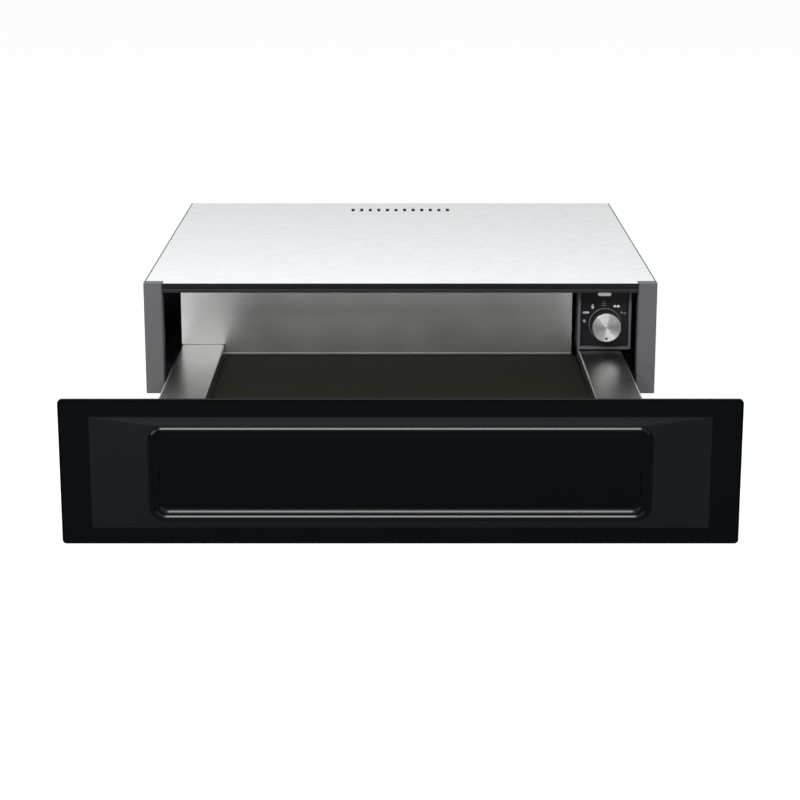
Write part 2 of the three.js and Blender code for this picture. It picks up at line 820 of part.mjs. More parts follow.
// Pressed sheet: the relief, the flat border, the rounded edge and its return, then the back
function frontPanel() {
  const outerX = frontWidth / 2;
  const outerZ = frontHeight / 2;
  const innerCorner = Math.max(frontCorner - frontSheet, frontSheet / 2);
  const roundSteps = 4;
  const round = [];
  for (let k = 0; k <= roundSteps; k += 1) {
    const angle = (k / roundSteps) * (Math.PI / 2);
    const inset = frontEdgeRadius * (1 - Math.sin(angle));
    const y = frontEdgeRadius * (1 - Math.cos(angle));
    round.push({ x: outerX - inset, z: outerZ - inset, corner: frontCorner - inset / 2, y });
  }
  const inner = { x: outerX - frontSheet, z: outerZ - frontSheet, corner: innerCorner };
  const edge = [
    { x: outerX, z: outerZ, corner: frontCorner, y: frontReturn },
    { ...inner, y: frontReturn },
    { ...inner, y: frontSheet },
  ];
  const rear = reliefLoops().reverse().map((loop) => ({ ...loop, y: loop.y + frontSheet }));
  const loops = [...reliefLoops(), ...round, ...edge, ...rear];
  return loft(loops.map((loop) => rectangleLoop({ ...loop, y: loop.y - frontDepth })));
}

// Open steel pan that carries the front and closes its back
function frontCarrier() {
  const width = frontWidth - 2 * carrierInset;
  const height = frontHeight - 2 * carrierDrop;
  const middle = frontHeight / 2 - frontDrop;
  const front = -frontDepth + frontSheet + fit;
  const shell = extrudeY(roundedRect(width, height, carrierCorner, 0, middle), front, 0, 3);
  const walls = 2 * sheet;
  const room = roundedRect(width - walls, height - walls, carrierCorner - sheet, 0, middle);
  return cut(shell, extrudeY(room, front - sheet, -sheet, 3));
}

// Angle inside each tray side that screws it to the carrier
function frontBracket(side) {
  const outer = trayHalf - sheet - fit;
  const line = [
    [side * (outer - bracketFoot), fit],
    [side * outer, fit],
    [side * outer, bracketFoot],
  ];
  const section = foldedSheet(side > 0 ? line : line.reverse(), bracketSteel, bend);
  return extrudeZ(section, rimHeight - sideOuterDrop, rimHeight - sheet - bend);
}

// Rubber stop between the carrier and the flange that it closes on
function buffer() {
  const thickness = closedGap - 1.5 * fit;
  const profile = [
    [0, 0],
    [bufferRadius, 0],
    [bufferRadius, thickness / 2],
    [bufferRadius - thickness / 2, thickness],
    [0, thickness],
  ];
  return turned(profile, 12);
}

// ---------------------------------------------------------------- blower

// Housing open towards the rear wall, with intake slots in its top
function blowerHousing() {
  const left = -(wellHalf - fit);
  const [bottom, top] = [matBottom, blowerTop];
  const shell = block(left, blowerHalf, blowerFront, blowerBack, bottom, top);
  const [roomLeft, roomRight] = [left + sheet, blowerHalf - sheet];
  const roomFront = blowerFront - sheet;
  const room = block(roomLeft, roomRight, roomFront, blowerBack - sheet, bottom + sheet, top - sheet);
  const slots = [];
  for (let i = 0; i < intakeSlots; i += 1) {
    const x = (i - (intakeSlots - 1) / 2) * intakePitch;
    const slot = slotShape(x, blowerBack - blowerDepth / 2, ventWidth, intakeLength, THREE.Shape);
    slots.push(extrudeZ(slot, top - 2 * sheet, top + sheet, 2));
  }
  return cut(shell, room, ...slots);
}

// Cross-flow drum: a ring of curved blades between two discs, on a spindle
function impeller() {
  const half = impellerLength / 2;
  const curve = new THREE.Shape();
  curve.absarc(0, 0, bladeCurve, -bladeSweep, bladeSweep, false);
  curve.absarc(0, 0, bladeCurve - bladeThickness, bladeSweep, -bladeSweep, true);
  curve.closePath();
  const blades = [];
  for (let i = 0; i < bladeCount; i += 1) {
    const blade = extrudeX(curve, -half, half, 2).translate(0, -bladeCurve, 0).rotateX(bladeLean);
    blade.translate(0, 0, impellerRadius - bladeInset).rotateX((i * 2 * Math.PI) / bladeCount);
    blades.push(blade);
  }
  const disc = (x) => rodX(impellerRadius, x, x + discThickness, 28);
  const hub = rodX(hubRadius, -half, -half + hubLength, 20);
  const spindleLeft = -(motorRight + motorLength - motorBoreFloor - fit);
  const spindleRight = endPlateX + endPlateSheet + spindleRadius;
  const spindle = rodX(spindleRadius, spindleLeft, spindleRight, 16);
  return joined(disc(-half), disc(half - discThickness), hub, spindle, ...blades);
}

// Scroll that turns the air from the intake round the drum to the slot over the mat
function blowerScroll() {
  const points = [];
  const steps = 14;
  for (let k = 0; k <= steps; k += 1) {
    const angle = THREE.MathUtils.degToRad(scrollStart - (scrollTurn * k) / steps);
    const radius = impellerRadius + scrollGap + (scrollGrowth * k) / steps;
    points.push([radius * Math.cos(angle), radius * Math.sin(angle)]);
  }
  const section = foldedSheet(points, scrollSheet, scrollSheet / 2, 1);
  const half = impellerLength / 2 + scrollGap;
  return extrudeX(section, -half, half);
}

// Plate at each end of the scroll, with a hole for the spindle; the heater's ends leave by the
// right one
function blowerEndPlate(side) {
  const low = matBottom + sheet + fit - impellerZ;
  const high = blowerTop - sheet - fit - impellerZ;
  const front = blowerFront + endPlateMargin - impellerY;
  const back = blowerBack - sheet - fit - impellerY;
  const plate = polygon([
    [front, low],
    [back, low],
    [back, high],
    [front + endPlateChamfer, high],
    [front, high - endPlateChamfer],
  ]);
  plate.holes.push(roundHole(0, 0, spindleRadius + shaftPlay));
  if (side > 0) {
    for (const row of [0, elementRows - 1]) {
      const y = blowerFront + elementInset + row * elementPitch - impellerY;
      plate.holes.push(roundHole(y, elementZ - impellerZ, elementRadius + fit));
    }
  }
  const x = side > 0 ? endPlateX : -endPlateX - endPlateSheet;
  return extrudeX(plate, x, x + endPlateSheet, 5);
}

// Shaded-pole motor from the face beside the end plate: laminated frame, coil and bearing caps
function blowerMotor() {
  const stackLeft = -motorCapLength - motorStack;
  const overlap = 1; // how far the caps run into the frame
  const stack = extrudeX(roundedRect(motorSize, motorSize, 3), stackLeft, -motorCapLength, 3);
  const coilOutline = roundedRect(coilWidth, coilHeight, 3, 0, (coilHeight - motorSize) / 2);
  const coil = extrudeX(coilOutline, stackLeft - coilOverhang, -motorCapLength + coilOverhang, 3);
  const capRight = rodX(motorCapRadius, -motorCapLength - overlap, 0, 24);
  const capLeft = rodX(motorCapRadius, -motorLength, stackLeft + overlap, 24);
  const bore = rodX(spindleRadius + shaftPlay, -motorLength + motorBoreFloor, 1, 20);
  return cut(joined(stack, coil, capRight, capLeft), bore);
}

// Sheathed heating rod bent into flat hairpins; both ends pass through the right end plate
function heatingElement() {
  const reach = endPlateX - elementMargin;
  const end = endPlateX + endPlateSheet + elementTail;
  const bendSteps = 6;
  const route = [new THREE.Vector2(end, 0)];
  for (let row = 0; row + 1 < elementRows; row += 1) {
    const heading = row % 2 === 0 ? -1 : 1;
    for (let k = 0; k <= bendSteps; k += 1) {
      const angle = Math.PI * (k / bendSteps - 1 / 2);
      const x = heading * (reach + (elementPitch / 2) * Math.cos(angle));
      route.push(new THREE.Vector2(x, elementPitch * (row + 1 / 2 + Math.sin(angle) / 2)));
    }
  }
  route.push(new THREE.Vector2(end, (elementRows - 1) * elementPitch));
  const sides = 8;
  const rings = route.map((point, i) => {
    const before = route[Math.max(i - 1, 0)];
    const after = route[Math.min(i + 1, route.length - 1)];
    const along = after.clone().sub(before).normalize();
    const ring = [];
    for (let k = 0; k < sides; k += 1) {
      const across = elementRadius * Math.cos((2 * Math.PI * k) / sides);
      const down = elementRadius * Math.sin((2 * Math.PI * k) / sides);
      ring.push([point.x - along.y * across, point.y + along.x * across, -down]);
    }
    return ring;
  });
  return loft(rings);
}

// Disc thermostat from its flange, with two tags
function safetyThermostat() {
  const capRadius = thermostatRadius - thermostatFlange / 2;
  const profile = [
    [0, 0],
    [thermostatRadius, 0],
    [thermostatRadius, thermostatFlange],
    [capRadius, thermostatFlange + bend],
    [capRadius, thermostatHeight],
    [0, thermostatHeight],
  ];
  const tagEnd = thermostatHeight + tagLength;
  const tag = (x) => {
    const [across, up] = [tagThickness / 2, tagWidth / 2];
    return block(x - across, x + across, thermostatHeight - 1, tagEnd, -up, up);
  };
  return joined(turned(profile, 20), tag(-thermostatRadius / 2), tag(thermostatRadius / 2));
}

// ---------------------------------------------------------------- control box

function controlHousing() {
  const wall = controlWall;
  const front = fasciaPlane + fasciaThickness + fit;
  const back = fasciaPlane + controlDepth;
  const shell = block(controlLeft, controlRight, front, back, controlBottom, controlTop);
  const [left, right] = [controlLeft + wall, controlRight - wall];
  const room = block(left, right, front - wall, back - wall, controlBottom + wall, controlTop - wall);
  const outlet = rodY(glandBore, back - 2 * wall, back + wall, 16);
  return cut(shell, room, outlet.translate(controlMiddle, 0, controlTop - outletDrop));
}

// Outline of the control box's front, drawn in by `inset` all round
function controlOutline(inset, corner, Kind) {
  const height = controlTop - controlBottom;
  const middle = (controlTop + controlBottom) / 2;
  return roundedRect(controlWidth - 2 * inset, height - 2 * inset, corner, controlMiddle, middle, Kind);
}

function controlBezel() {
  const frame = controlOutline(0, controlCorner);
  frame.holes.push(controlOutline(bezelBand, bezelCorner, THREE.Path));
  return extrudeY(frame, controlRecess, fasciaPlane - fit, 3);
}

// Outline of the indicator lens, grown by `rim` all round
function lensOutline(rim, Kind) {
  const height = lensHeight + 2 * rim;
  const width = lensWidth + 2 * rim;
  return roundedRect(width, height, 0.45 * height, controlMiddle, controlTop - lensTop, Kind);
}

function controlFascia() {
  const plate = controlOutline(0, controlCorner);
  plate.holes.push(roundHole(dialX, dialZ, neckRadius + fit, 24));
  plate.holes.push(lensOutline(fit, THREE.Path));
  return extrudeY(plate, fasciaPlane, fasciaPlane + fasciaThickness, 4);
}

// Light guide: it fills the fascia's slot and seats behind it on a flange
function indicatorLens() {
  const seat = fasciaPlane + fasciaThickness + fit;
  const window = extrudeY(lensOutline(0), fasciaPlane - lensProud, seat, 4);
  return joined(window, extrudeY(lensOutline(lensFlange), seat, seat + lensFlangeThickness, 3));
}

function dialCollar() {
  const inner = neckRadius + fit;
  const profile = [
    [inner, 0],
    [inner, -collarHeight / 2],
    [collarRadius - collarRim, -collarHeight / 2],
    [collarRadius - collarRim / 2, -collarHeight],
    [collarRadius - collarRim / 6, -0.8 * collarHeight],
    [collarRadius, 0],
    [inner, 0],
  ];
  return turned(profile, 36);
}

// Rotary switch with a neck through the fascia; the dial's shaft turns in its bore
function selectorSwitch() {
  const front = fasciaThickness + fit;
  const back = front + switchDepth;
  const body = extrudeY(roundedRect(switchSize, switchSize, 4), front, back, 3);
  const neck = rodY(neckRadius, 0, front + 1, 24);
  const tags = [];
  for (let i = 0; i < switchTags; i += 1) {
    const x = (i - (switchTags - 1) / 2) * switchTagPitch;
    const [low, high] = [-switchTagDrop, -switchTagDrop + tagThickness];
    tags.push(block(x - tagWidth / 2, x + tagWidth / 2, back - 1, back + tagLength, low, high));
  }
  const bore = rodY(shaftRadius + shaftPlay, -1, shaftRear + shaftRadius, 24);
  return cut(joined(body, neck, ...tags), bore);
}

// Spun dial: a shallow dished face, a rounded rim and a drilled pointer
function knob() {
  const front = -knobReach;
  const back = -collarHeight - knobGap;
  const bore = shaftRadius + fit;
  const profile = [
    [0, front + knobDish],
    [knobRadius - 1.5 * knobRound, front + knobDish / 5],
    [knobRadius - knobRound, front],
    [knobRadius - 0.3 * knobRound, front + 0.3 * knobRound],
    [knobRadius, front + knobRound],
    [knobRadius, front + knobFace],
    [knobRadius - knobTaper, back],
    [bore, back],
    [bore, front + knobFace],
    [0, front + knobFace],
  ];
  const pointer = rodY(pointerRadius, front - 1, front + pointerDepth, 12);
  return cut(turned(profile, 44), pointer.translate(0, 0, -pointerPlace));
}

const knobShaft = () => rodY(shaftRadius, -knobReach + knobFace + fit, shaftRear, 24);

// ---------------------------------------------------------------- push latch

function latchBody() {
  const base = sheet + fit;
  const [back, top] = [latchStart + latchLength, base + latchHeight];
  const outline = polygon([
    [latchStart, base],
    [back, base],
    [back, top - latchChamfer],
    [back - latchChamfer, top],
    [latchStart, top],
  ]);
  const body = extrudeX(outline, -latchWidth / 2, latchWidth / 2);
  const earHalf = latchWidth / 2 + earReach;
  const earFront = latchStart + earInset;
  const ears = block(-earHalf, earHalf, earFront, earFront + earLength, base, base + earThickness);
  const boreEnd = latchStart + plungerTail + plungerTravel + springRoom;
  const bore = rodY(plungerRadius + shaftPlay, latchStart - 1, boreEnd, 20);
  return cut(joined(body, ears), bore.translate(0, 0, latchAxis));
}

// Push rod from the latch's front face
function latchPlunger() {
  const round = plungerRadius / 3;
  const profile = [
    [0, -plungerReach],
    [plungerRadius - round, -plungerReach],
    [plungerRadius, -plungerReach + round],
    [plungerRadius, plungerTail],
    [0, plungerTail],
  ];
  return turned(profile, 16);
}

// Bent tab under the blower that meets the plunger when the drawer shuts
function latchStriker() {
  const face = latchStart - plungerReach - strikerGap - travelShut - carrierBack;
  const line = [
    [face, sheet + fit + strikerFoot],
    [face, floorHeight - fit],
    [face - strikerLeg, floorHeight - fit],
  ];
  return extrudeX(foldedSheet(line, bracketSteel, bend), -strikerWidth / 2, strikerWidth / 2);
}

// ---------------------------------------------------------------- assembly

const warmingDrawer = new THREE.Group();
warmingDrawer.position.y = -caseDepth / 2; // the origin is the middle of the case's underside

const housing = new THREE.Group(); // case and all that is fixed to it
warmingDrawer.add(housing);
piece(housing, 'case_base', caseBase(), galvanised);
piece(housing, 'case_side_left', caseSide(-1), graphitePaint);
piece(housing, 'case_side_right', caseSide(1), graphitePaint);
piece(housing, 'case_rear_panel', rearPanel(), galvanised);
piece(housing, 'case_top_cover', topCover(), galvanised);
piece(housing, 'front_rail', frontRail(), graphitePaint);
piece(housing, 'terminal_box', terminalBox(), greyPlastic);
piece(housing, 'cable_gland', cableGland(), softRubber).position.set(controlMiddle, 0, terminalAxis);
piece(housing, 'latch_body', latchBody(), blackPlastic);
piece(housing, 'latch_plunger', latchPlunger(), whitePlastic).position.set(0, latchStart, latchAxis);
piece(housing, 'control_housing', controlHousing(), blackPlastic);
piece(housing, 'control_bezel', controlBezel(), graphitePaint);
piece(housing, 'control_fascia', controlFascia(), fasciaBlack);
piece(housing, 'indicator_lens', indicatorLens(), lensPlastic);

const dial = new THREE.Group(); // everything on the dial's axis, from the fascia's face
dial.position.set(dialX, fasciaPlane, dialZ);
housing.add(dial);
piece(dial, 'selector_switch', selectorSwitch(), whitePlastic);
piece(dial, 'dial_collar', dialCollar(), blackPlastic).position.y = -fit;
piece(dial, 'dial_knob', knob(), spunAluminium);
piece(dial, 'dial_shaft', knobShaft(), zincSteel);

const drawer = new THREE.Group(); // from the back of the front's carrier
drawer.position.y = carrierBack;
warmingDrawer.add(drawer);
piece(drawer, 'front_panel', frontPanel(), blackEnamel);
piece(drawer, 'front_carrier', frontCarrier(), galvanised);
piece(drawer, 'drawer_floor', trayFloor(), brushedSteel);
piece(drawer, 'drawer_rear_wall', rearWall(), brushedSteel);
piece(drawer, 'anti_slip_mat', antiSlipMat(), matRubber);
piece(drawer, 'blower_housing', blowerHousing(), galvanised);
piece(drawer, 'latch_striker', latchStriker(), zincSteel);

// Runner members, sides, brackets and stops, left and right alike
function addSide(hand, side) {
  const { fixed, middle, moving } = runnerSet(side);
  const member = (parent, name, section, start) => {
    piece(parent, name, extrudeY(section, 0, runnerLength), zincSteel).position.y = start;
  };
  member(housing, `case_runner_${hand}`, fixed, runnerStart);
  member(housing, `middle_runner_${hand}`, middle, runnerClosedStart - travelShut / 2);
  member(drawer, `drawer_runner_${hand}`, moving, runnerClosedStart + closedGap);
  piece(housing, `runner_bracket_${hand}`, runnerBracket(side), galvanised);
  piece(drawer, `drawer_side_${hand}`, traySide(side), brushedSteel);
  piece(drawer, `front_bracket_${hand}`, frontBracket(side), zincSteel);
  const stop = (level, height) => {
    const bumper = piece(drawer, `front_buffer_${level}_${hand}`, buffer(), softRubber);
    bumper.position.set(side * (caseHalf - flangeWidth / 2), fit / 2, height);
  };
  stop('lower', bufferLow);
  stop('upper', frontHeight - frontDrop - bufferDrop);
}

addSide('left', -1);
addSide('right', 1);

const blower = new THREE.Group(); // about the drum's axis
blower.position.set(0, impellerY, impellerZ);
drawer.add(blower);
piece(blower, 'blower_impeller', impeller(), greyPlastic);
piece(blower, 'blower_scroll', blowerScroll(), galvanised);
piece(blower, 'blower_end_plate_left', blowerEndPlate(-1), galvanised);
piece(blower, 'blower_end_plate_right', blowerEndPlate(1), galvanised);
piece(blower, 'blower_motor', blowerMotor(), zincSteel).position.x = -motorRight;
const element = piece(drawer, 'heating_element', heatingElement(), heaterSheath);
element.position.set(0, blowerFront + elementInset, elementZ);
const thermostat = piece(drawer, 'safety_thermostat', safetyThermostat(), blackPlastic);
thermostat.rotation.x = Math.PI;
const thermostatBack = blowerBack - sheet - fit;
thermostat.position.set(-(wellHalf - thermostatInset), thermostatBack, blowerTop - thermostatDrop);

export default warmingDrawer;
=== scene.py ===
import math

import bmesh
import bpy
from mathutils import Matrix, Vector


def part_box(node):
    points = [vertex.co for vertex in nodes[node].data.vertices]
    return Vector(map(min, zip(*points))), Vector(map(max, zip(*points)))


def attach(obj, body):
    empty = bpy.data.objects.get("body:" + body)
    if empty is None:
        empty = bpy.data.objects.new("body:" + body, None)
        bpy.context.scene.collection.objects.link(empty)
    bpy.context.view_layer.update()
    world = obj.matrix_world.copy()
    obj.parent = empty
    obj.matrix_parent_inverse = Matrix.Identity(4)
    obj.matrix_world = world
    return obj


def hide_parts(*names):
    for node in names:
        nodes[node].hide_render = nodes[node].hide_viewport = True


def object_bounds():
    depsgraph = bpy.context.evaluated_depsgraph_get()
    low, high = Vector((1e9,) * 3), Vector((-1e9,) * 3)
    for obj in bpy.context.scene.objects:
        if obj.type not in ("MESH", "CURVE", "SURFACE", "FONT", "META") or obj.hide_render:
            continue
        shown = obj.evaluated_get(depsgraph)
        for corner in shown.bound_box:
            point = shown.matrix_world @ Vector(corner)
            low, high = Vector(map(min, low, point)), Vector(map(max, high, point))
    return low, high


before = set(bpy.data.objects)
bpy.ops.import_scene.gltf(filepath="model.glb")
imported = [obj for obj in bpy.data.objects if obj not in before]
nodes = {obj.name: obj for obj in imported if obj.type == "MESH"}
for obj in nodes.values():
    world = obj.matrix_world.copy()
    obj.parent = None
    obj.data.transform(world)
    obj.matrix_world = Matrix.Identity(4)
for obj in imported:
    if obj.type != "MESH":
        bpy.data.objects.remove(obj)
cadLow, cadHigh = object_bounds()
mm = 0.001
print("frame loaded,", len(nodes), "nodes")


# sRGB hex to the linear colour that the shaders take
def linear(hexColour):
    channels = [int(hexColour[i:i + 2], 16) / 255 for i in (1, 3, 5)]
    curve = [c / 12.92 if c <= 0.04045 else ((c + 0.055) / 1.055) ** 2.4 for c in channels]
    return (*curve, 1)


# adds a node, sets its properties and its inputs, and links the inputs that are sockets
def addNode(tree, kind, inputs=None, ramp=None, **settings):
    node = tree.nodes.new(kind)
    for name, value in settings.items():
        setattr(node, name, value)
    for socket, value in (inputs or {}).items():
        if isinstance(value, bpy.types.NodeSocket):
            tree.links.new(value, node.inputs[socket])
        else:
            node.inputs[socket].default_value = value
    if ramp:
        stops = node.color_ramp.elements
        while len(stops) < len(ramp):
            stops.new(0.5)
        for stop, (place, colour) in zip(stops, ramp):
            stop.position = place
            stop.color = linear(colour)
    return node


# a new material with its shader's plain values set; returns what the patterns are linked to
def startFinish(name, sockets):
    material = bpy.data.materials.new(name)
    material.use_nodes = True
    tree = material.node_tree
    shader = tree.nodes["Principled BSDF"]
    for socket, value in sockets.items():
        shader.inputs[socket].default_value = value
    coords = addNode(tree, "ShaderNodeTexCoord").outputs["Object"]
    return material, tree, shader, coords


# feeds a roughness that wanders between two values
def linkRoughness(tree, shader, factor, low, high):
    spread = addNode(tree, "ShaderNodeMapRange", {"Value": factor, "To Min": low, "To Max": high})
    tree.links.new(spread.outputs["Result"], shader.inputs["Roughness"])


# feeds a bump of a real height, in metres
def linkBump(tree, shader, height, distance, strength=1.0):
    bump = addNode(tree, "ShaderNodeBump", {"Height": height, "Distance": distance, "Strength": strength})
    tree.links.new(bump.outputs["Normal"], shader.inputs["Normal"])


# Black enamel on pressed steel, sprayed and fired: faint orange peel makes reflections swim. Its
# copies carry painted light: a lighter band (painted sheen), upward edges that reflect more (painted
# highlight) and a rim that reflects less (painted shade)
def blackEnamel(name, dark, light, level, roughness):
    values = {"peel": 5 * mm, "peelHeight": 0.004 * mm, "smear": 60 * mm, "spread": 0.03}
    material, tree, shader, coords = startFinish(name, {"IOR": 1.5, "Specular IOR Level": level})
    smear = addNode(tree, "ShaderNodeTexNoise", {"Vector": coords, "Scale": 1 / values["smear"]})
    tone = addNode(tree, "ShaderNodeValToRGB", {"Fac": smear.outputs["Fac"]},
                   ramp=[(0.3, dark), (0.7, light)])
    tree.links.new(tone.outputs["Color"], shader.inputs["Base Color"])
    spread = values["spread"]
    linkRoughness(tree, shader, smear.outputs["Fac"], roughness - spread, roughness + spread)
    peel = addNode(tree, "ShaderNodeTexNoise", {"Vector": coords, "Scale": 1 / values["peel"]})
    linkBump(tree, shader, peel.outputs["Fac"], values["peelHeight"])
    return material


# Graphite powder coat: satin grey with a fine baked texture and a few lighter flakes
def graphitePaint(name, dark, light, level=0.2):
    # pits and flakes are drawn twice as coarse as real ones, to show at all
    values = {"pits": 0.7 * mm, "flakes": 1.1 * mm, "pitHeight": 0.03 * mm, "rough": (0.38, 0.55),
              "bump": 0.4}
    material, tree, shader, coords = startFinish(name, {"Specular IOR Level": level})
    flakes = addNode(tree, "ShaderNodeTexVoronoi", {"Vector": coords, "Scale": 1 / values["flakes"]})
    tone = addNode(tree, "ShaderNodeValToRGB", {"Fac": flakes.outputs["Color"]},
                   ramp=[(0.1, dark), (0.9, light)])
    tree.links.new(tone.outputs["Color"], shader.inputs["Base Color"])
    pits = addNode(tree, "ShaderNodeTexNoise", {"Vector": coords, "Scale": 1 / values["pits"]})
    linkRoughness(tree, shader, pits.outputs["Fac"], *values["rough"])
    linkBump(tree, shader, pits.outputs["Fac"], values["pitHeight"], values["bump"])
    return material


# Hot-dip galvanised sheet: zinc crystals of mixed greys, each with its own gloss; the cover has a
# pale matt lacquer over the zinc, and so isn't metallic
def galvanisedSheet(name, dark, light, metallic=1.0):
    values = {"spangle": 9 * mm, "grit": 0.9 * mm, "gritHeight": 0.01 * mm, "rough": (0.34, 0.5),
              "bump": 0.5}
    material, tree, shader, coords = startFinish(name, {"Metallic": metallic})
    spangle = addNode(tree, "ShaderNodeTexVoronoi", {"Vector": coords, "Scale": 1 / values["spangle"]})
    tone = addNode(tree, "ShaderNodeValToRGB", {"Fac": spangle.outputs["Color"]},
                   ramp=[(0.15, dark), (0.85, light)])
    tree.links.new(tone.outputs["Color"], shader.inputs["Base Color"])
    linkRoughness(tree, shader, spangle.outputs["Color"], *values["rough"])
    grit = addNode(tree, "ShaderNodeTexNoise", {"Vector": coords, "Scale": 1 / values["grit"]})
    linkBump(tree, shader, grit.outputs["Fac"], values["gritHeight"], values["bump"])
    return material


# Brushed stainless sheet: fine parallel lines along the grain that draw highlights out across it
def brushedStainless(name, grain, across, dark, light, roughness=0.22):
    values = {"line": 0.8 * mm, "length": 45 * mm, "cloud": 50 * mm, "depth": 0.006 * mm,
              "smoother": 0.01, "rougher": 0.07, "bump": 0.22}
    material, tree, shader, coords = startFinish(name, {"Metallic": 1.0, "Anisotropic": 0.5})
    pitch = [1 / values["length"] if side == grain else 1 / values["line"] for side in "XYZ"]
    stretched = addNode(tree, "ShaderNodeMapping", {"Vector": coords, "Scale": pitch})
    lines = addNode(tree, "ShaderNodeTexNoise",  # its scale is in the stretched coordinates
                    {"Vector": stretched.outputs["Vector"], "Scale": 1.0, "Detail": 3.0})
    cloud = addNode(tree, "ShaderNodeTexNoise", {"Vector": coords, "Scale": 1 / values["cloud"]})
    mixed = addNode(tree, "ShaderNodeMath",
                    {0: lines.outputs["Fac"], 1: cloud.outputs["Fac"]}, operation="ADD")
    tone = addNode(tree, "ShaderNodeValToRGB", {"Fac": mixed.outputs["Value"]},
                   ramp=[(0.7, dark), (1.0, light)])
    tree.links.new(tone.outputs["Color"], shader.inputs["Base Color"])
    low, high = roughness + values["smoother"], roughness + values["rougher"]
    linkRoughness(tree, shader, cloud.outputs["Fac"], low, high)
    linkBump(tree, shader, lines.outputs["Fac"], values["depth"], values["bump"])
    stretch = addNode(tree, "ShaderNodeCombineXYZ", {across: 1.0})
    tree.links.new(stretch.outputs["Vector"], shader.inputs["Tangent"])
    return material


# Bright zinc plate over drawn steel: cool grey with long die marks
def zincPlate():
    values = {"marks": 1.2 * mm, "length": 80 * mm, "depth": 0.005 * mm, "rough": (0.22, 0.34),
              "bump": 0.4}
    material, tree, shader, coords = startFinish("zincPlate", {"Metallic": 1.0})
    stretch = [1 / values["marks"], 1 / values["length"], 1 / values["marks"]]
    stretched = addNode(tree, "ShaderNodeMapping", {"Vector": coords, "Scale": stretch})
    marks = addNode(tree, "ShaderNodeTexNoise", {"Vector": stretched.outputs["Vector"], "Scale": 1.0})
    tone = addNode(tree, "ShaderNodeValToRGB", {"Fac": marks.outputs["Fac"]},
                   ramp=[(0.3, "#b4b8bc"), (0.7, "#c8cbce")])
    tree.links.new(tone.outputs["Color"], shader.inputs["Base Color"])
    linkRoughness(tree, shader, marks.outputs["Fac"], *values["rough"])
    linkBump(tree, shader, marks.outputs["Fac"], values["depth"], values["bump"])
    return material


# Aluminium face turned on a lathe: rings too fine to count, and a cone of light from its middle
def spunAluminium(centre):
    # rings are drawn coarser than the real 0.1 mm; the wave is one ring's width at a scale of 1
    values = {"ring": 0.55 * mm, "wave": 0.314, "depth": 0.004 * mm, "rough": (0.4, 0.48), "bump": 0.5}
    material, tree, shader, coords = startFinish("spunAluminium", {"Metallic": 1.0, "Anisotropic": 1.0})
    centred = addNode(tree, "ShaderNodeMapping", {"Vector": coords, "Location": [-c for c in centre]})
    rings = addNode(tree, "ShaderNodeTexWave",
                    {"Vector": centred.outputs["Vector"], "Scale": values["wave"] / values["ring"],
                     "Distortion": 0.4, "Detail": 2.0},
                    wave_type="RINGS", rings_direction="Y")
    tone = addNode(tree, "ShaderNodeValToRGB", {"Fac": rings.outputs["Fac"]},
                   ramp=[(0.0, "#a4a4a4"), (1.0, "#b4b4b3")])
    tree.links.new(tone.outputs["Color"], shader.inputs["Base Color"])
    linkRoughness(tree, shader, rings.outputs["Fac"], *values["rough"])
    linkBump(tree, shader, rings.outputs["Fac"], values["depth"], values["bump"])
    # the lobe is stretched along the radius, across the rings, and turns with the dial
    radius = addNode(tree, "ShaderNodeVectorMath", {0: centred.outputs["Vector"], 1: (1, 0, 1)},
                     operation="MULTIPLY")
    turned = addNode(tree, "ShaderNodeVectorTransform", {"Vector": radius.outputs["Vector"]},
                     vector_type="VECTOR", convert_from="OBJECT", convert_to="WORLD")
    tree.links.new(turned.outputs["Vector"], shader.inputs["Tangent"])
    return material


# Moulded plastic with a spark-eroded mould's even fine texture
def mouldedPlastic(name, dark, light, roughness=0.5, level=0.5):
    values = {"texture": 0.8 * mm, "depth": 0.02 * mm, "flow": 25 * mm, "spread": 0.06, "bump": 0.4}
    material, tree, shader, coords = startFinish(name, {"IOR": 1.5, "Specular IOR Level": level})
    flow = addNode(tree, "ShaderNodeTexNoise", {"Vector": coords, "Scale": 1 / values["flow"]})
    tone = addNode(tree, "ShaderNodeValToRGB", {"Fac": flow.outputs["Fac"]},
                   ramp=[(0.3, dark), (0.7, light)])
    tree.links.new(tone.outputs["Color"], shader.inputs["Base Color"])
    texture = addNode(tree, "ShaderNodeTexNoise", {"Vector": coords, "Scale": 1 / values["texture"]})
    spread = values["spread"]
    linkRoughness(tree, shader, texture.outputs["Fac"], roughness - spread, roughness + spread)
    linkBump(tree, shader, texture.outputs["Fac"], values["depth"], values["bump"])
    return material


# Anti-slip mat: dull silicone with a fine pimpled face, olive black
def siliconeMat():
    values = {"pimple": 1.6 * mm, "uneven": 0.15, "height": 0.12 * mm, "wear": 70 * mm,
              "rough": (0.7, 0.85), "bump": 0.3}
    material, tree, shader, coords = startFinish("siliconeMat", {"IOR": 1.41, "Specular IOR Level": 0.06})
    pimples = addNode(tree, "ShaderNodeTexVoronoi",
                      {"Vector": coords, "Scale": 1 / values["pimple"], "Randomness": values["uneven"]})
    wear = addNode(tree, "ShaderNodeTexNoise", {"Vector": coords, "Scale": 1 / values["wear"]})
    tone = addNode(tree, "ShaderNodeValToRGB", {"Fac": wear.outputs["Fac"]},
                   ramp=[(0.3, "#171712"), (0.7, "#1c1c16")])
    tree.links.new(tone.outputs["Color"], shader.inputs["Base Color"])
    linkRoughness(tree, shader, wear.outputs["Fac"], *values["rough"])
    linkBump(tree, shader, pimples.outputs["Distance"], values["height"], values["bump"])
    return material


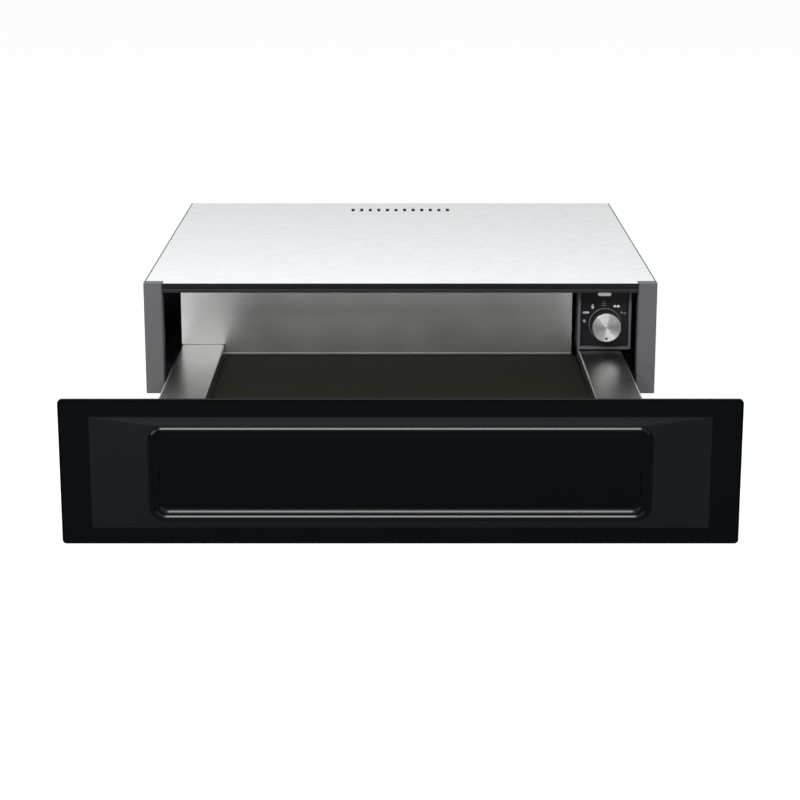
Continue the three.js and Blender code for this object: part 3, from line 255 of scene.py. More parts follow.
# Incoloy heater sheath: swaged tube, browned and blued by heat
def heatedSheath():
    values = {"temper": 22 * mm, "scale": 1.5 * mm, "depth": 0.02 * mm, "rough": (0.4, 0.6), "bump": 0.4}
    material, tree, shader, coords = startFinish("heatedSheath", {"Metallic": 0.8})
    temper = addNode(tree, "ShaderNodeTexNoise", {"Vector": coords, "Scale": 1 / values["temper"]})
    tone = addNode(tree, "ShaderNodeValToRGB", {"Fac": temper.outputs["Fac"]},
                   ramp=[(0.3, "#3b332c"), (0.5, "#5a4c3c"), (0.7, "#4a4b52")])
    tree.links.new(tone.outputs["Color"], shader.inputs["Base Color"])
    scale = addNode(tree, "ShaderNodeTexNoise", {"Vector": coords, "Scale": 1 / values["scale"]})
    linkRoughness(tree, shader, scale.outputs["Fac"], *values["rough"])
    linkBump(tree, shader, scale.outputs["Fac"], values["depth"], values["bump"])
    return material


# Frosted acrylic light guide: milky, with a soft gloss, and a faint glow that is painted light, lifting it
# out of the shade under the rail
def frostedLens():
    values = {"frost": 0.5 * mm, "depth": 0.02 * mm, "rough": (0.3, 0.42), "bump": 0.3,
              # the emission is painted light, not a lit lamp
              "inside": 2 * mm, "paintedGlow": 0.19}
    material, tree, shader, coords = startFinish(
        "frostedLens", {"Base Color": linear("#dcdcd8"), "IOR": 1.49, "Subsurface Weight": 0.2,
                        "Subsurface Scale": values["inside"], "Emission Color": linear("#f2f2ee"),
                        "Emission Strength": values["paintedGlow"]})
    frost = addNode(tree, "ShaderNodeTexNoise", {"Vector": coords, "Scale": 1 / values["frost"]})
    linkRoughness(tree, shader, frost.outputs["Fac"], *values["rough"])
    linkBump(tree, shader, frost.outputs["Fac"], values["depth"], values["bump"])
    return material


# axis of the dial and the fascia's front face
shaftLow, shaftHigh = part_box("dial_shaft")
axis = (shaftLow + shaftHigh) / 2
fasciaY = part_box("control_fascia")[0].y

finishes = {
    "enamel": blackEnamel("blackEnamel", "#030406", "#040508", 0.028, 0.12),
    # the band's lighter colour is a painted sheen, the edges' stronger reflection a painted highlight, the
    # rim's weaker reflection painted shade
    "enamelBand": blackEnamel("blackEnamelBandSheen", "#111214", "#141518", 0.035, 0.35),
    "enamelEdge": blackEnamel("blackEnamelEdgeHighlight", "#040406", "#050508", 0.19, 0.14),
    "enamelRim": blackEnamel("blackEnamelRimShade", "#040406", "#050508", 0.006, 0.25),
    "graphite": graphitePaint("graphitePaint", "#575759", "#5f5f61"),
    "frameGrey": graphitePaint("frameGrey", "#4c4c4e", "#58585a"),
    "railPaint": graphitePaint("railPaint", "#222223", "#29292b", 0.08),
    # the cover's front lip is painted dark: painted shade
    "lipShadePaint": graphitePaint("lipShadePaint", "#161617", "#1c1c1e", 0.08),
    "galvanised": galvanisedSheet("galvanisedSheet", "#989c9f", "#b8bbbd"),
    "coverSheet": galvanisedSheet("coverSheet", "#ebecee", "#f3f4f4", 0.0),
    "wallSteel": brushedStainless("wallSteel", "X", "Z", "#c0c0c0", "#c8c8c7"),
    # darker copy of the steel for the wall's folded foot: painted shade
    "hemShadeSteel": brushedStainless("hemShadeSteel", "X", "Z", "#6e706a", "#7a7c75", 0.45),
    "sideSteel": brushedStainless("sideSteel", "Y", "X", "#949494", "#9d9d9c"),
    "zinc": zincPlate(),
    "aluminium": spunAluminium(axis),
    "blackPlastic": mouldedPlastic("blackPlastic", "#161618", "#1c1c1e"),
    "greyPlastic": mouldedPlastic("greyPlastic", "#404246", "#484a4e"),
    "whitePlastic": mouldedPlastic("whitePlastic", "#cfcfc8", "#dadad4", 0.45),
    "fascia": mouldedPlastic("fasciaPlastic", "#18181a", "#1d1d1f", 0.3, 0.12),
    "collar": mouldedPlastic("collarPlastic", "#505052", "#5a5a5c", 0.3),
    "softRubber": mouldedPlastic("softRubber", "#222222", "#2a2a2a", 0.75),
    "mat": siliconeMat(),
    "heater": heatedSheath(),
    "lens": frostedLens(),
    # screen-printed ink, as even and matt as the plastic under it
    "print": mouldedPlastic("screenPrint", "#cacaca", "#d4d4d4", 0.5),
    "printSoft": mouldedPlastic("screenPrintSoft", "#8e8e8e", "#989898", 0.5),
    "printDim": mouldedPlastic("screenPrintDim", "#5c5c5c", "#646464", 0.5),
}
print("finishes made:", len(finishes))


# turns a finished bmesh into a piece that rides on a body and stands for its nodes
def makePiece(bm, name, body, finish, replaced=(), sharp=35):
    bmesh.ops.recalc_face_normals(bm, faces=bm.faces)
    mesh = bpy.data.meshes.new(name)
    bm.to_mesh(mesh)
    bm.free()
    mesh.polygons.foreach_set("use_smooth", [True] * len(mesh.polygons))
    mesh.set_sharp_from_angle(angle=math.radians(sharp))
    mesh.materials.append(finishes[finish])
    piece = bpy.data.objects.new(name, mesh)
    bpy.context.scene.collection.objects.link(piece)
    flat = piece.modifiers.new("flatFaces", "WEIGHTED_NORMAL")  # large faces stay flat beside edges
    flat.keep_sharp = True
    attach(piece, body)
    if replaced:
        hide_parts(*replaced)
    return piece


# extrudes an open ring of vertices and returns the new ring in the same order
def nextRing(bm, ring):
    edges = [bm.edges.get((a, b)) for a, b in zip(ring, ring[1:] + ring[:1])]
    made = bmesh.ops.extrude_edge_only(bm, edges=edges)["geom"]
    fresh = {item for item in made if isinstance(item, bmesh.types.BMVert)}
    return [next(e.other_vert(v) for e in v.link_edges if e.other_vert(v) in fresh) for v in ring]


# lays a ring, counted round from +X, on a rounded rectangle that faces -Y
def layRing(ring, centre, halfX, halfZ, corner, y):
    perCorner = len(ring) // 4
    for i, vert in enumerate(ring):
        quarter, k = divmod(i, perCorner)
        angle = (quarter + k / (perCorner - 1)) * math.pi / 2
        sideX = 1 if quarter in (0, 3) else -1
        sideZ = 1 if quarter in (0, 1) else -1
        x = centre.x + sideX * (halfX - corner) + corner * math.cos(angle)
        z = centre.z + sideZ * (halfZ - corner) + corner * math.sin(angle)
        vert.co = Vector((x, y, z))


def closeRing(bm, ring):
    edges = [bm.edges.get((a, b)) for a, b in zip(ring, ring[1:] + ring[:1])]
    bmesh.ops.edgeloop_fill(bm, edges=edges)


# copy of a CAD node with merged faces and softened edges, for sheet metal and mouldings
def dressNode(name, node, body, finish, slotName, edge, shadedLip=None):
    values = {"merge": 1e-6, "flat": 0.6, "corner": 55, "segments": 2, "sharp": 32, "lip": 2 * mm}
    bm = bmesh.new()
    bm.from_mesh(nodes[node].data)
    bmesh.ops.remove_doubles(bm, verts=bm.verts, dist=values["merge"])
    bmesh.ops.dissolve_limit(bm, angle_limit=math.radians(values["flat"]), verts=bm.verts, edges=bm.edges)
    limit = math.radians(values["corner"])
    corners = [e for e in bm.edges if len(e.link_faces) == 2 and e.calc_face_angle() > limit]
    bmesh.ops.bevel(bm, geom=corners, offset=edge * mm, offset_type="OFFSET", segments=values["segments"],
                    profile=0.5, affect="EDGES", material=-1, clamp_overlap=True)
    if shadedLip:  # the lip at the front of the sheet, painted dark as painted shade
        front = min(vert.co.y for vert in bm.verts)
        for face in bm.faces:
            if face.calc_center_median().y < front + values["lip"]:
                face.material_index = 1
    piece = makePiece(bm, name, body, finish, (node,), values["sharp"])
    if shadedLip:
        piece.data.materials.append(finishes[shadedLip])


# Embossed front: flat border, sloping band, a moulded frame of a ridge and a ramp, and a field
# that is slightly crowned
def makeFront():
    values = {"returnDepth": 6, "sheet": 2, "corner": 3.5, "edgeRadius": 1.8, "borderSide": 27,
              "borderEnds": 15, "borderCorner": 2, "kneeSide": 4, "kneeEnds": 0.8, "kneeRise": 0.3,
              "bandSide": 51, "bandEnds": 8, "bandRise": 4, "frameWidth": 10, "ridgeInset": 0.5,
              "ridgeWidth": 4.4, "ridgeRise": 1.3, "rampWidth": 4, "fieldDrop": 2.2,
              "fieldCorner": 13, "crown": 1.4}  # all in millimetres
    v = {key: value * mm for key, value in values.items()}
    taper = 0.4  # how fast the frame's corners tighten inwards
    easing = 0.35  # how much the ramp's ends are rounded off
    highlightFrom = 0.3  # least upward tilt of an edge that gets the painted highlight
    rampSteps, roundSteps, cornerPoints = 9, 7, 14
    fieldShares = (0.12, 0.35, 0.6, 0.8, 0.93)  # rings across the field, for its crown
    # the ridge from its inner foot over its top, as shares of its half width and its height
    flank = [(-1, 0), (-0.94, 0.03), (-0.86, 0.11), (-0.3, 0.77), (-0.2, 0.88), (-0.1, 0.95)]
    ridge = flank + [(0, 0.98)] + [(-place, rise) for place, rise in reversed(flank)]
    plain, sheenBand, highlightEdge, rim = range(4)  # slots of the finishes; all but the plain one hold painted light (sheen, highlight, shade)
    low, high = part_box("front_panel")
    centre = (low + high) / 2
    halfX, halfZ = (high.x - low.x) / 2, (high.z - low.z) / 2
    plane = high.y - v["returnDepth"]  # front face of the flat border
    bandX, bandZ = halfX - v["borderSide"], halfZ - v["borderEnds"]
    footX, footZ = bandX - v["bandSide"], bandZ - v["bandEnds"]
    loops = []  # half width, half height, corner radius, place in Y, finish of the faces to the next

    def frameLoop(inset, height, finish):
        loops.append((footX - inset, footZ - inset, v["fieldCorner"] - inset * taper,
                      plane - v["bandRise"] - height, finish))

    fieldX, fieldZ = footX - v["frameWidth"], footZ - v["frameWidth"]
    for share in fieldShares:
        shrink = fieldZ * (1 - share)
        corner = (v["fieldCorner"] - v["frameWidth"] * taper) * share
        field = plane - v["bandRise"] + v["fieldDrop"]
        loops.append((fieldX - shrink, fieldZ - shrink, corner, field, plain))
    crowned = len(loops)
    for k in range(rampSteps + 1):  # straight ramp with eased ends
        share = k / rampSteps
        ease = share - math.sin(2 * math.pi * share) / (2 * math.pi) * easing
        finish = highlightEdge if k < rampSteps else plain
        frameLoop(v["frameWidth"] - v["rampWidth"] * share, -v["fieldDrop"] * (1 - ease), finish)
    half = v["ridgeWidth"] / 2
    for place, rise in ridge:
        finish = highlightEdge if place < 1 else plain
        frameLoop(v["ridgeInset"] + half * (1 - place), v["ridgeRise"] * rise, finish)
    frameLoop(0, 0, sheenBand)
    for share in (0.25, 0.5, 0.75, 1):  # straight slope of the band, out to its knee
        loops.append((footX + (v["bandSide"] - v["kneeSide"]) * share,
                      footZ + (v["bandEnds"] - v["kneeEnds"]) * share,
                      v["fieldCorner"] + (v["borderCorner"] - v["fieldCorner"]) * share,
                      plane - v["kneeRise"] - (v["bandRise"] - v["kneeRise"]) * (1 - share), sheenBand))
    loops.append((bandX, bandZ, v["borderCorner"], plane, plain))
    # the rounded outer edge, whose copy of the enamel reflects less: painted shade
    for k in range(roundSteps + 1):
        angle = k / roundSteps * math.pi / 2
        inset = v["edgeRadius"] * (1 - math.sin(angle))
        loops.append((halfX - inset, halfZ - inset, v["corner"] - inset / 2,
                      plane + v["edgeRadius"] * (1 - math.cos(angle)), rim))
    loops.append((halfX, halfZ, v["corner"], high.y, plain))
    rear = v["sheet"] + plane
    for y in (high.y, rear):  # inner side of the return edge
        loops.append((halfX - v["sheet"], halfZ - v["sheet"], v["corner"] - v["sheet"], y, plain))
    loops.append((bandX, bandZ, v["borderCorner"], rear, plain))
    loops.append((footX, footZ, v["fieldCorner"], rear - v["bandRise"], plain))
    loops.append((fieldX, fieldZ, v["fieldCorner"] / 2, rear - v["bandRise"] + v["fieldDrop"], plain))

    bm = bmesh.new()
    bmesh.ops.create_circle(bm, cap_ends=False, segments=4 * cornerPoints, radius=1)
    bm.verts.ensure_lookup_table()
    ring = list(bm.verts)
    rings = []
    layRing(ring, centre, *loops[0][:4])
    closeRing(bm, ring)
    for previous, loop in zip(loops, loops[1:]):
        rings.append(ring)
        before = set(bm.faces)
        ring = nextRing(bm, ring)
        layRing(ring, centre, *loop[:4])
        for face in set(bm.faces) - before:
            face.material_index = previous[4]
    closeRing(bm, ring)
    for ring in rings[:crowned + 1]:  # crown of the field, highest along its middle
        for vert in ring:
            vert.co.y -= v["crown"] * (1 - ((vert.co.z - centre.z) / fieldZ) ** 2)
    bmesh.ops.recalc_face_normals(bm, faces=bm.faces)
    for face in bm.faces:  # only the moulded edges that face upwards get the painted highlight
        if face.material_index == highlightEdge and face.normal.z < highlightFrom:
            face.material_index = plain
    front = makePiece(bm, "embossedFront", "drawer", "enamel", ("front_panel",), 40)
    for finish in ("enamelBand", "enamelEdge", "enamelRim"):
        front.data.materials.append(finishes[finish])


makeFront()
print("front made")


# spins a profile of [radius, y] pairs, in millimetres from the fascia, about the dial's axis
def spunSolid(profile, steps):
    bm = bmesh.new()
    points = [bm.verts.new((axis.x + radius * mm, fasciaY + y * mm, axis.z)) for radius, y in profile]
    edges = [bm.edges.new(pair) for pair in zip(points, points[1:])]
    bmesh.ops.spin(bm, geom=points + edges, cent=(axis.x, fasciaY, axis.z), axis=(0, 1, 0),
                   angle=2 * math.pi, steps=steps, use_merge=True)
    bmesh.ops.remove_doubles(bm, verts=bm.verts, dist=1e-6)
    return bm


# Dial: dished spun face, rounded rim, tapered skirt and the filled pointer dot; millimetres
def makeDial():
    v = {"radius": 15.2, "reach": 21.5, "dish": 0.5, "dishEdge": 1.6, "dishRise": 0.8, "rim": 0.6,
         "cap": 1.4, "step": 0.2, "stepRun": 0.1, "skirt": 2.0, "taper": 0.8, "heel": 0.3, "bore": 3.2,
         "face": 6, "dot": 1.5, "dotPlace": 11.8, "dotDepth": 0.5, "dotSunk": 0.28, "dotEdge": 0.1,
         "dishRings": (3, 6, 9, 11.5, 13.6), "rimSteps": 6, "steps": 96}
    front, back = -v["reach"], -v["skirt"]
    body = v["radius"] - v["step"]
    foot = v["radius"] - v["taper"]
    profile = [(0, front + v["dish"])]
    for radius in v["dishRings"]:
        share = (radius / (v["radius"] - v["dishEdge"])) ** 2
        profile.append((radius, front + v["dish"] * (1 - v["dishRise"] * share)))
    for k in range(v["rimSteps"] + 1):
        angle = k / v["rimSteps"] * math.pi / 2
        profile.append((v["radius"] - v["rim"] * (1 - math.sin(angle)),
                        front + v["rim"] * (1 - math.cos(angle))))
    profile += [(v["radius"], front + v["cap"]), (body, front + v["cap"] + v["stepRun"]),
                (body, front + v["face"]), (foot, back - v["heel"]), (foot - v["heel"], back),
                (v["bore"], back), (v["bore"], front + v["face"]), (0, front + v["face"])]
    bm = spunSolid(profile, v["steps"])
    capEnd = fasciaY + (front + v["cap"]) * mm
    for face in bm.faces:  # the cap is aluminium, the body behind it black
        if face.calc_center_median().y > capEnd:
            face.material_index = 1
    knob = makePiece(bm, "spunDial", "dial", "aluminium", ("dial_knob",), 40)
    knob.data.materials.append(finishes["blackPlastic"])

    dot = bmesh.new()
    bmesh.ops.create_cone(dot, cap_ends=True, segments=28, radius1=v["dot"] * mm, radius2=v["dot"] * mm,
                          depth=v["dotDepth"] * mm)
    bmesh.ops.rotate(dot, verts=dot.verts, matrix=Matrix.Rotation(math.pi / 2, 3, "X"))
    place = Vector((axis.x, fasciaY + (front + v["dotSunk"]) * mm, axis.z - v["dotPlace"] * mm))
    bmesh.ops.translate(dot, verts=dot.verts, vec=place)
    rims = [e for e in dot.edges if e.calc_face_angle() > math.radians(60)]
    bmesh.ops.bevel(dot, geom=rims, offset=v["dotEdge"] * mm, segments=2, profile=0.5, affect="EDGES",
                    material=-1)
    makePiece(dot, "pointerDot", "dial", "blackPlastic")


# Collar behind the dial: a flat disc with a raised round lip that catches the light; millimetres
def makeCollar():
    v = {"bore": 5.2, "flat": 0.8, "lip": 1.3, "radius": 17.3, "height": 1.6, "gap": 0.2,
         "lipSteps": 8, "steps": 96}
    profile = [(v["bore"], -v["gap"]), (v["bore"], -v["gap"] - v["flat"])]
    middle = v["radius"] - v["lip"] / 2
    for k in range(v["lipSteps"] + 1):
        angle = math.pi * k / v["lipSteps"]
        rise = v["flat"] + (v["height"] - v["flat"]) * math.sin(angle)
        profile.append((middle - v["lip"] / 2 * math.cos(angle), -v["gap"] - rise))
    profile += [(v["radius"], -v["gap"]), (v["bore"], -v["gap"])]
    bm = spunSolid(profile, v["steps"])
    lipStart = (v["radius"] - v["lip"]) * mm
    for face in bm.faces:  # the lip is satin, the flat disc inside it black
        away = face.calc_center_median() - Vector((axis.x, 0, axis.z))
        if math.hypot(away.x, away.z) > lipStart:
            face.material_index = 1
    collar = makePiece(bm, "dialCollar", "case", "fascia", ("dial_collar",), 50)
    collar.data.materials.append(finishes["collar"])


# Frame round the fascia: one moulded ring with softened edges
def makeBezel():
    values = {"band": 2.8, "corner": 1.2, "innerCorner": 0.6, "soft": 0.4}  # millimetres
    v = {key: value * mm for key, value in values.items()}
    cornerPoints = 6
    low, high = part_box("control_bezel")
    centre = (low + high) / 2
    outX, outZ = (high.x - low.x) / 2, (high.z - low.z) / 2
    inX, inZ = outX - v["band"], outZ - v["band"]
    soft = v["soft"]
    waist = soft * 0.3  # middle of each rounded edge
    loops = [(outX, outZ, v["corner"], high.y), (outX, outZ, v["corner"], low.y + soft),
             (outX - waist, outZ - waist, v["corner"], low.y + waist),
             (outX - soft, outZ - soft, v["corner"], low.y),
             (inX + soft, inZ + soft, v["innerCorner"], low.y),
             (inX + waist, inZ + waist, v["innerCorner"], low.y + waist),
             (inX, inZ, v["innerCorner"], low.y + soft), (inX, inZ, v["innerCorner"], high.y)]
    bm = bmesh.new()
    bmesh.ops.create_circle(bm, cap_ends=False, segments=4 * cornerPoints, radius=1)
    bm.verts.ensure_lookup_table()
    first = ring = list(bm.verts)
    layRing(ring, centre, *loops[0])
    for loop in loops[1:]:
        ring = nextRing(bm, ring)
        layRing(ring, centre, *loop)
    ends = [bm.edges.get(pair) for each in (first, ring) for pair in zip(each, each[1:] + each[:1])]
    bmesh.ops.bridge_loops(bm, edges=ends)
    makePiece(bm, "fasciaFrame", "case", "frameGrey", ("control_bezel",), 40)


# Plain marks printed round the dial: place from its axis and size of each blob, in millimetres
def makeMarks():
    values = {"thickness": 0.16, "sunk": 0.02, "marks": {
        "markDot": ("printSoft", [(-22.1, 3.0, 3.2, 3.2)]),
        "markBar": ("print", [(-22.6, 12.2, 2.8, 2.2), (-20.6, 12.2, 4.2, 2.4), (-18.4, 12.2, 2.8, 2.2)]),
        "markDrop": ("print", [(-13.4, 18.4, 2.8, 4.0), (-13.4, 20.2, 1.4, 2.8)]),
        "markStack": ("printDim", [(-1.5, 20.0, 6.2, 1.1), (-1.5, 22.2, 5.0, 1.1), (-1.5, 24.4, 2.8, 1.1)]),
        "markTwin": ("print", [(10.4, 19.2, 3.2, 2.6), (14.0, 19.0, 3.6, 2.8)]),
        "markPair": ("printDim", [(17.6, 12.2, 2.4, 2.6), (21.0, 11.6, 2.6, 2.4)])}}
    for name, (finish, blobs) in values["marks"].items():
        bm = bmesh.new()
        for x, z, width, height in blobs:
            made = bmesh.ops.create_circle(bm, cap_ends=True, segments=24, radius=0.5)["verts"]
            bmesh.ops.scale(bm, verts=made, vec=(width * mm, height * mm, 1))
            bmesh.ops.rotate(bm, verts=made, matrix=Matrix.Rotation(math.pi / 2, 3, "X"))
            place = Vector((axis.x + x * mm, fasciaY - values["thickness"] * mm, axis.z + z * mm))
            bmesh.ops.translate(bm, verts=made, vec=place)
            face = made[0].link_faces[0]
            grown = bmesh.ops.extrude_face_region(bm, geom=[face])["geom"]
            back = [item for item in grown if isinstance(item, bmesh.types.BMVert)]
            bmesh.ops.translate(bm, verts=back, vec=(0, (values["thickness"] - values["sunk"]) * mm, 0))
        makePiece(bm, name, "case", finish)


makeDial()
makeCollar()
makeBezel()
makeMarks()
print("dial and fascia made")

# sheet metal and mouldings that show: name, node, body, finish, slot, edge in millimetres, and
# for the cover the dark paint on its lip, which is painted shade
dressed = [
    ("caseWallLeft", "case_side_left", "case", "graphite", "graphite_paint", 0.2),
    ("caseWallRight", "case_side_right", "case", "graphite", "graphite_paint", 0.2),
    ("crossRail", "front_rail", "case", "railPaint", "graphite_paint", 0.2),
    ("coverSheet", "case_top_cover", "case", "coverSheet", "galvanised_steel", 0.2, "lipShadePaint"),
    ("baseSheet", "case_base", "case", "galvanised", "galvanised_steel", 0.2),
    ("rearSheet", "case_rear_panel", "case", "galvanised", "galvanised_steel", 0.2),
    ("fasciaPlate", "control_fascia", "case", "fascia", "fascia_black", 0.15),
    ("controlBox", "control_housing", "case", "blackPlastic", "black_plastic", 0.5),
    ("indicatorLens", "indicator_lens", "case", "lens", "lens", 0.15),
    ("switchBody", "selector_switch", "case", "whitePlastic", "white_plastic", 0.2),
    ("connectionBox", "terminal_box", "case", "greyPlastic", "grey_plastic", 0.5),
    ("inletBush", "cable_gland", "case", "softRubber", "soft_rubber", 0.4),
    ("pushLatch", "latch_body", "case", "blackPlastic", "black_plastic", 0.4),
    ("bracketLeft", "runner_bracket_left", "case", "galvanised", "galvanised_steel", 0.2),
    ("bracketRight", "runner_bracket_right", "case", "galvanised", "galvanised_steel", 0.2),
    ("caseMemberLeft", "case_runner_left", "case", "zinc", "zinc_plated_steel", 0.2),
    ("caseMemberRight", "case_runner_right", "case", "zinc", "zinc_plated_steel", 0.2),
    ("middleMemberLeft", "middle_runner_left", "middle_runner_left", "zinc", "zinc_plated_steel", 0.2),
    ("middleMemberRight", "middle_runner_right", "middle_runner_right", "zinc", "zinc_plated_steel", 0.2),
    ("trayMemberLeft", "drawer_runner_left", "drawer", "zinc", "zinc_plated_steel", 0.2),
    ("trayMemberRight", "drawer_runner_right", "drawer", "zinc", "zinc_plated_steel", 0.2),
    ("ledgeLeft", "drawer_side_left", "drawer", "sideSteel", "brushed_stainless", 0.15),
    ("ledgeRight", "drawer_side_right", "drawer", "sideSteel", "brushed_stainless", 0.15),
    ("rearWall", "drawer_rear_wall", "drawer", "wallSteel", "brushed_stainless", 0.15),
    ("trayPan", "drawer_floor", "drawer", "sideSteel", "brushed_stainless", 0.2),
    ("trayMat", "anti_slip_mat", "drawer", "mat", "mat_rubber", 0.6),
    ("frontCarrier", "front_carrier", "drawer", "galvanised", "galvanised_steel", 0.2),
    ("frontAngleLeft", "front_bracket_left", "drawer", "zinc", "zinc_plated_steel", 0.2),
    ("frontAngleRight", "front_bracket_right", "drawer", "zinc", "zinc_plated_steel", 0.2),
    ("fanHousing", "blower_housing", "drawer", "galvanised", "galvanised_steel", 0.2),
    ("strikerTab", "latch_striker", "drawer", "zinc", "zinc_plated_steel", 0.2),
    ("stopLowerLeft", "front_buffer_lower_left", "drawer", "softRubber", "soft_rubber", 0.2),
    ("stopLowerRight", "front_buffer_lower_right", "drawer", "softRubber", "soft_rubber", 0.2),
    ("stopUpperLeft", "front_buffer_upper_left", "drawer", "softRubber", "soft_rubber", 0.2),
    ("stopUpperRight", "front_buffer_upper_right", "drawer", "softRubber", "soft_rubber", 0.2),
    ("latchRod", "latch_plunger", "plunger", "whitePlastic", "white_plastic", 0.2),
]
for piece in dressed:
    dressNode(*piece)

# the rear wall's folded foot is duller than its face, and darker and tinged like the mat beside it: painted
# shade
hemHeight = 2.6 * mm
wall = bpy.data.objects["rearWall"].data
wall.materials.append(finishes["hemShadeSteel"])
foot = min(vertex.co.z for vertex in wall.vertices)
for face in wall.polygons:
    if face.center.z < foot + hemHeight:
        face.material_index = 1
print("sheet metal and mouldings dressed:", len(dressed))


# Six-lobe pan-head screws, in millimetres: for each row its body, the way that it faces, the place
# of the sheet's face and the places of the heads on it
def makeScrews():
    v = {"head": 3.4, "rise": 1.3, "socket": 1.2, "narrowing": 0.9, "deep": 0.8, "lobes": 0.16,
         "dome": [(0.55, 0.97), (0.82, 0.72), (1, 0.3), (1, 0)], "steps": 36}
    rear = [(x, z) for x in (-258, 258) for z in (12, 60, 108)] + [(-90, 112), (90, 112), (0, 9)]
    side = [(y, z) for y in (-236, -10, 150) for z in (13, 107)]
    carrier = [(x, z) for x in (-150, 0, 150) for z in (-12, 80)]
    rows = {
        "rearScrews": ("case", (0, 1, 0), cadHigh.y / mm - 4, rear),
        "sideScrewsLeft": ("case", (-1, 0, 0), -272.5, side),
        "sideScrewsRight": ("case", (1, 0, 0), 272.5, side),
        "carrierScrews": ("drawer", (0, 1, 0), -661.5, carrier),
    }
    bottom = v["rise"] - v["deep"]
    profile = [(0, bottom), (v["socket"] * v["narrowing"], bottom), (v["socket"], v["rise"])]
    profile += [(v["head"] * out, v["rise"] * up) for out, up in v["dome"]] + [(0, 0)]
    for name, (body, facing, plane, places) in rows.items():
        row = bmesh.new()
        for across, up in places:
            bm = bmesh.new()
            points = [bm.verts.new((radius, 0, rise)) for radius, rise in profile]
            edges = [bm.edges.new(pair) for pair in zip(points, points[1:])]
            bmesh.ops.spin(bm, geom=points + edges, cent=(0, 0, 0), axis=(0, 0, 1), angle=2 * math.pi,
                           steps=v["steps"], use_merge=True)
            bmesh.ops.remove_doubles(bm, verts=bm.verts, dist=1e-5)
            for vert in bm.verts:  # lobes of the socket
                if 0.1 < vert.co.xy.length < v["socket"] + 0.05 and vert.co.z > 0:
                    lobe = 1 + v["lobes"] * math.cos(6 * math.atan2(vert.co.y, vert.co.x))
                    vert.co.x *= lobe
                    vert.co.y *= lobe
            turn = Vector((0, 0, 1)).rotation_difference(Vector(facing)).to_matrix()
            bmesh.ops.rotate(bm, verts=bm.verts, matrix=turn)
            place = (plane, across, up) if facing[0] else (across, plane, up)
            bmesh.ops.translate(bm, verts=bm.verts, vec=place)
            bmesh.ops.scale(bm, verts=bm.verts, vec=(mm, mm, mm))
            spare = bpy.data.meshes.new("spare")
            bm.to_mesh(spare)
            bm.free()
            row.from_mesh(spare)
            bpy.data.meshes.remove(spare)
        makePiece(row, name, body, "zinc")


makeScrews()
print("screws made")

# inner pieces whose solids are right already
kept = {
    "blower_scroll": "galvanised",
    "blower_end_plate_left": "galvanised",
    "blower_end_plate_right": "galvanised",
    "blower_impeller": "greyPlastic",
    "blower_motor": "zinc",
    "heating_element": "heater",
    "safety_thermostat": "blackPlastic",
    "dial_shaft": "zinc",
}
for node, finish in kept.items():
    nodes[node].data.materials.clear()
    nodes[node].data.materials.append(finishes[finish])
print("inner pieces finished:", len(kept))


# 1 for rays from the camera, from a mirror or through glass, else 0
def seenRays(tree):
    path = addNode(tree, "ShaderNodeLightPath")
    seen = path.outputs["Is Camera Ray"]
    for ray in ("Is Glossy Ray", "Is Transmission Ray"):
        either = addNode(tree, "ShaderNodeMath", {0: seen, 1: path.outputs[ray]}, operation="MAXIMUM")
        seen = either.outputs[0]
    return seen


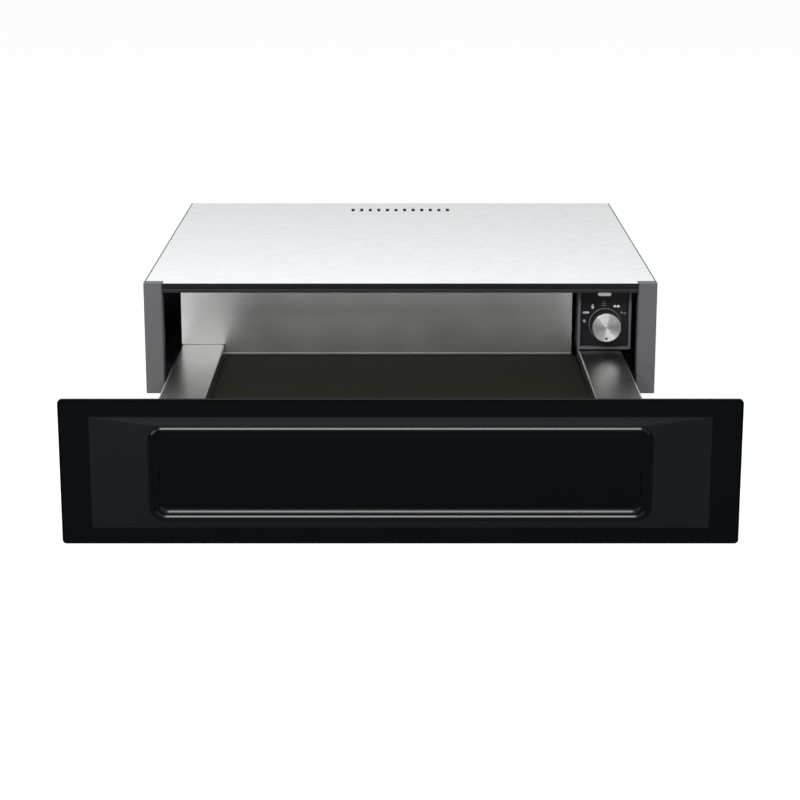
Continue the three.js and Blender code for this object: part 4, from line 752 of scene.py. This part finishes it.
# Studio: pale floor under the front, white surroundings for camera and reflections
def makeStage():
    white = (1, 1, 1, 1)
    v = {"reach": 40, "gap": 0.2 * mm, "floorWhite": "#b4b4b4", "glow": 0.79, "surround": 0.4}
    bm = bmesh.new()
    bmesh.ops.create_grid(bm, x_segments=2, y_segments=2, size=v["reach"])
    bmesh.ops.translate(bm, verts=bm.verts, vec=(0, 0, cadLow.z - v["gap"]))
    mesh = bpy.data.meshes.new("paleFloor")
    bm.to_mesh(mesh)
    bm.free()
    floor = bpy.data.objects.new("paleFloor", mesh)
    bpy.context.scene.collection.objects.link(floor)
    material = bpy.data.materials.new("paleFloor")
    material.use_nodes = True
    tree = material.node_tree
    tree.nodes.clear()
    glow = addNode(tree, "ShaderNodeMath", {0: seenRays(tree), 1: v["glow"]}, operation="MULTIPLY")
    paint = addNode(tree, "ShaderNodeBsdfDiffuse", {"Color": linear(v["floorWhite"])})
    light = addNode(tree, "ShaderNodeEmission", {"Color": white, "Strength": glow.outputs[0]})
    both = addNode(tree, "ShaderNodeAddShader", {0: paint.outputs[0], 1: light.outputs[0]})
    addNode(tree, "ShaderNodeOutputMaterial", {"Surface": both.outputs[0]})
    mesh.materials.append(material)

    world = bpy.data.worlds.new("studio")
    world.use_nodes = True
    bpy.context.scene.world = world
    tree = world.node_tree
    tree.nodes.clear()
    level = addNode(tree, "ShaderNodeMapRange",
                    {"Value": seenRays(tree), "To Min": v["surround"], "To Max": 1.0})
    background = addNode(tree, "ShaderNodeBackground", {"Color": white, "Strength": level.outputs["Result"]})
    addNode(tree, "ShaderNodeOutputWorld", {"Surface": background.outputs[0]})


# soft boxes: size across and along, place, the point each looks at, and its power in watts
def makeLamps():
    lamps = {
        "keyBox": {"size": (1.3, 0.26), "place": (0, -1.55, 1.13), "aim": (0, -0.69, 0.03), "power": 20},
        "dialBox": {"size": (0.3, 0.3), "place": (-0.8, -1.25, 1.25), "aim": (0.22, -0.27, 0.07), "power": 9},
        "leftBox": {"size": (0.8, 0.8), "place": (-1.8, -1.9, 0.9), "aim": (0, -0.4, 0.05), "power": 6},
        "frontBox": {"size": (1.6, 0.5), "place": (0, -3.2, 0.35), "aim": (0, -0.3, 0.08), "power": 5},
    }
    for name, lamp in lamps.items():
        light = bpy.data.lights.new(name, "AREA")
        light.shape = "RECTANGLE"
        light.size, light.size_y = lamp["size"]
        light.energy = lamp["power"]
        box = bpy.data.objects.new(name, light)
        box.location = lamp["place"]
        towards = Vector(lamp["aim"]) - Vector(lamp["place"])
        box.rotation_euler = towards.to_track_quat("-Z", "Y").to_euler()
        box.visible_camera = False
        bpy.context.scene.collection.objects.link(box)


# the photograph's view: tilt below level in degrees, lens and sensor in millimetres
def makeCamera():
    values = {"place": (-0.0004, -2.4320, 0.5524), "tilt": 14.5, "lens": 93.69, "sensor": 36,
              "clip": (0.05, 200)}
    camera = bpy.data.cameras.new("photoCamera")
    camera.lens = values["lens"]
    camera.sensor_width = values["sensor"]
    camera.clip_start, camera.clip_end = values["clip"]
    holder = bpy.data.objects.new("photoCamera", camera)
    holder.location = values["place"]
    holder.rotation_euler = (math.radians(90 - values["tilt"]), 0, 0)
    bpy.context.scene.collection.objects.link(holder)
    bpy.context.scene.camera = holder


makeStage()
makeLamps()
makeCamera()
bpy.context.scene.view_settings.view_transform = "Standard"
print("studio made")
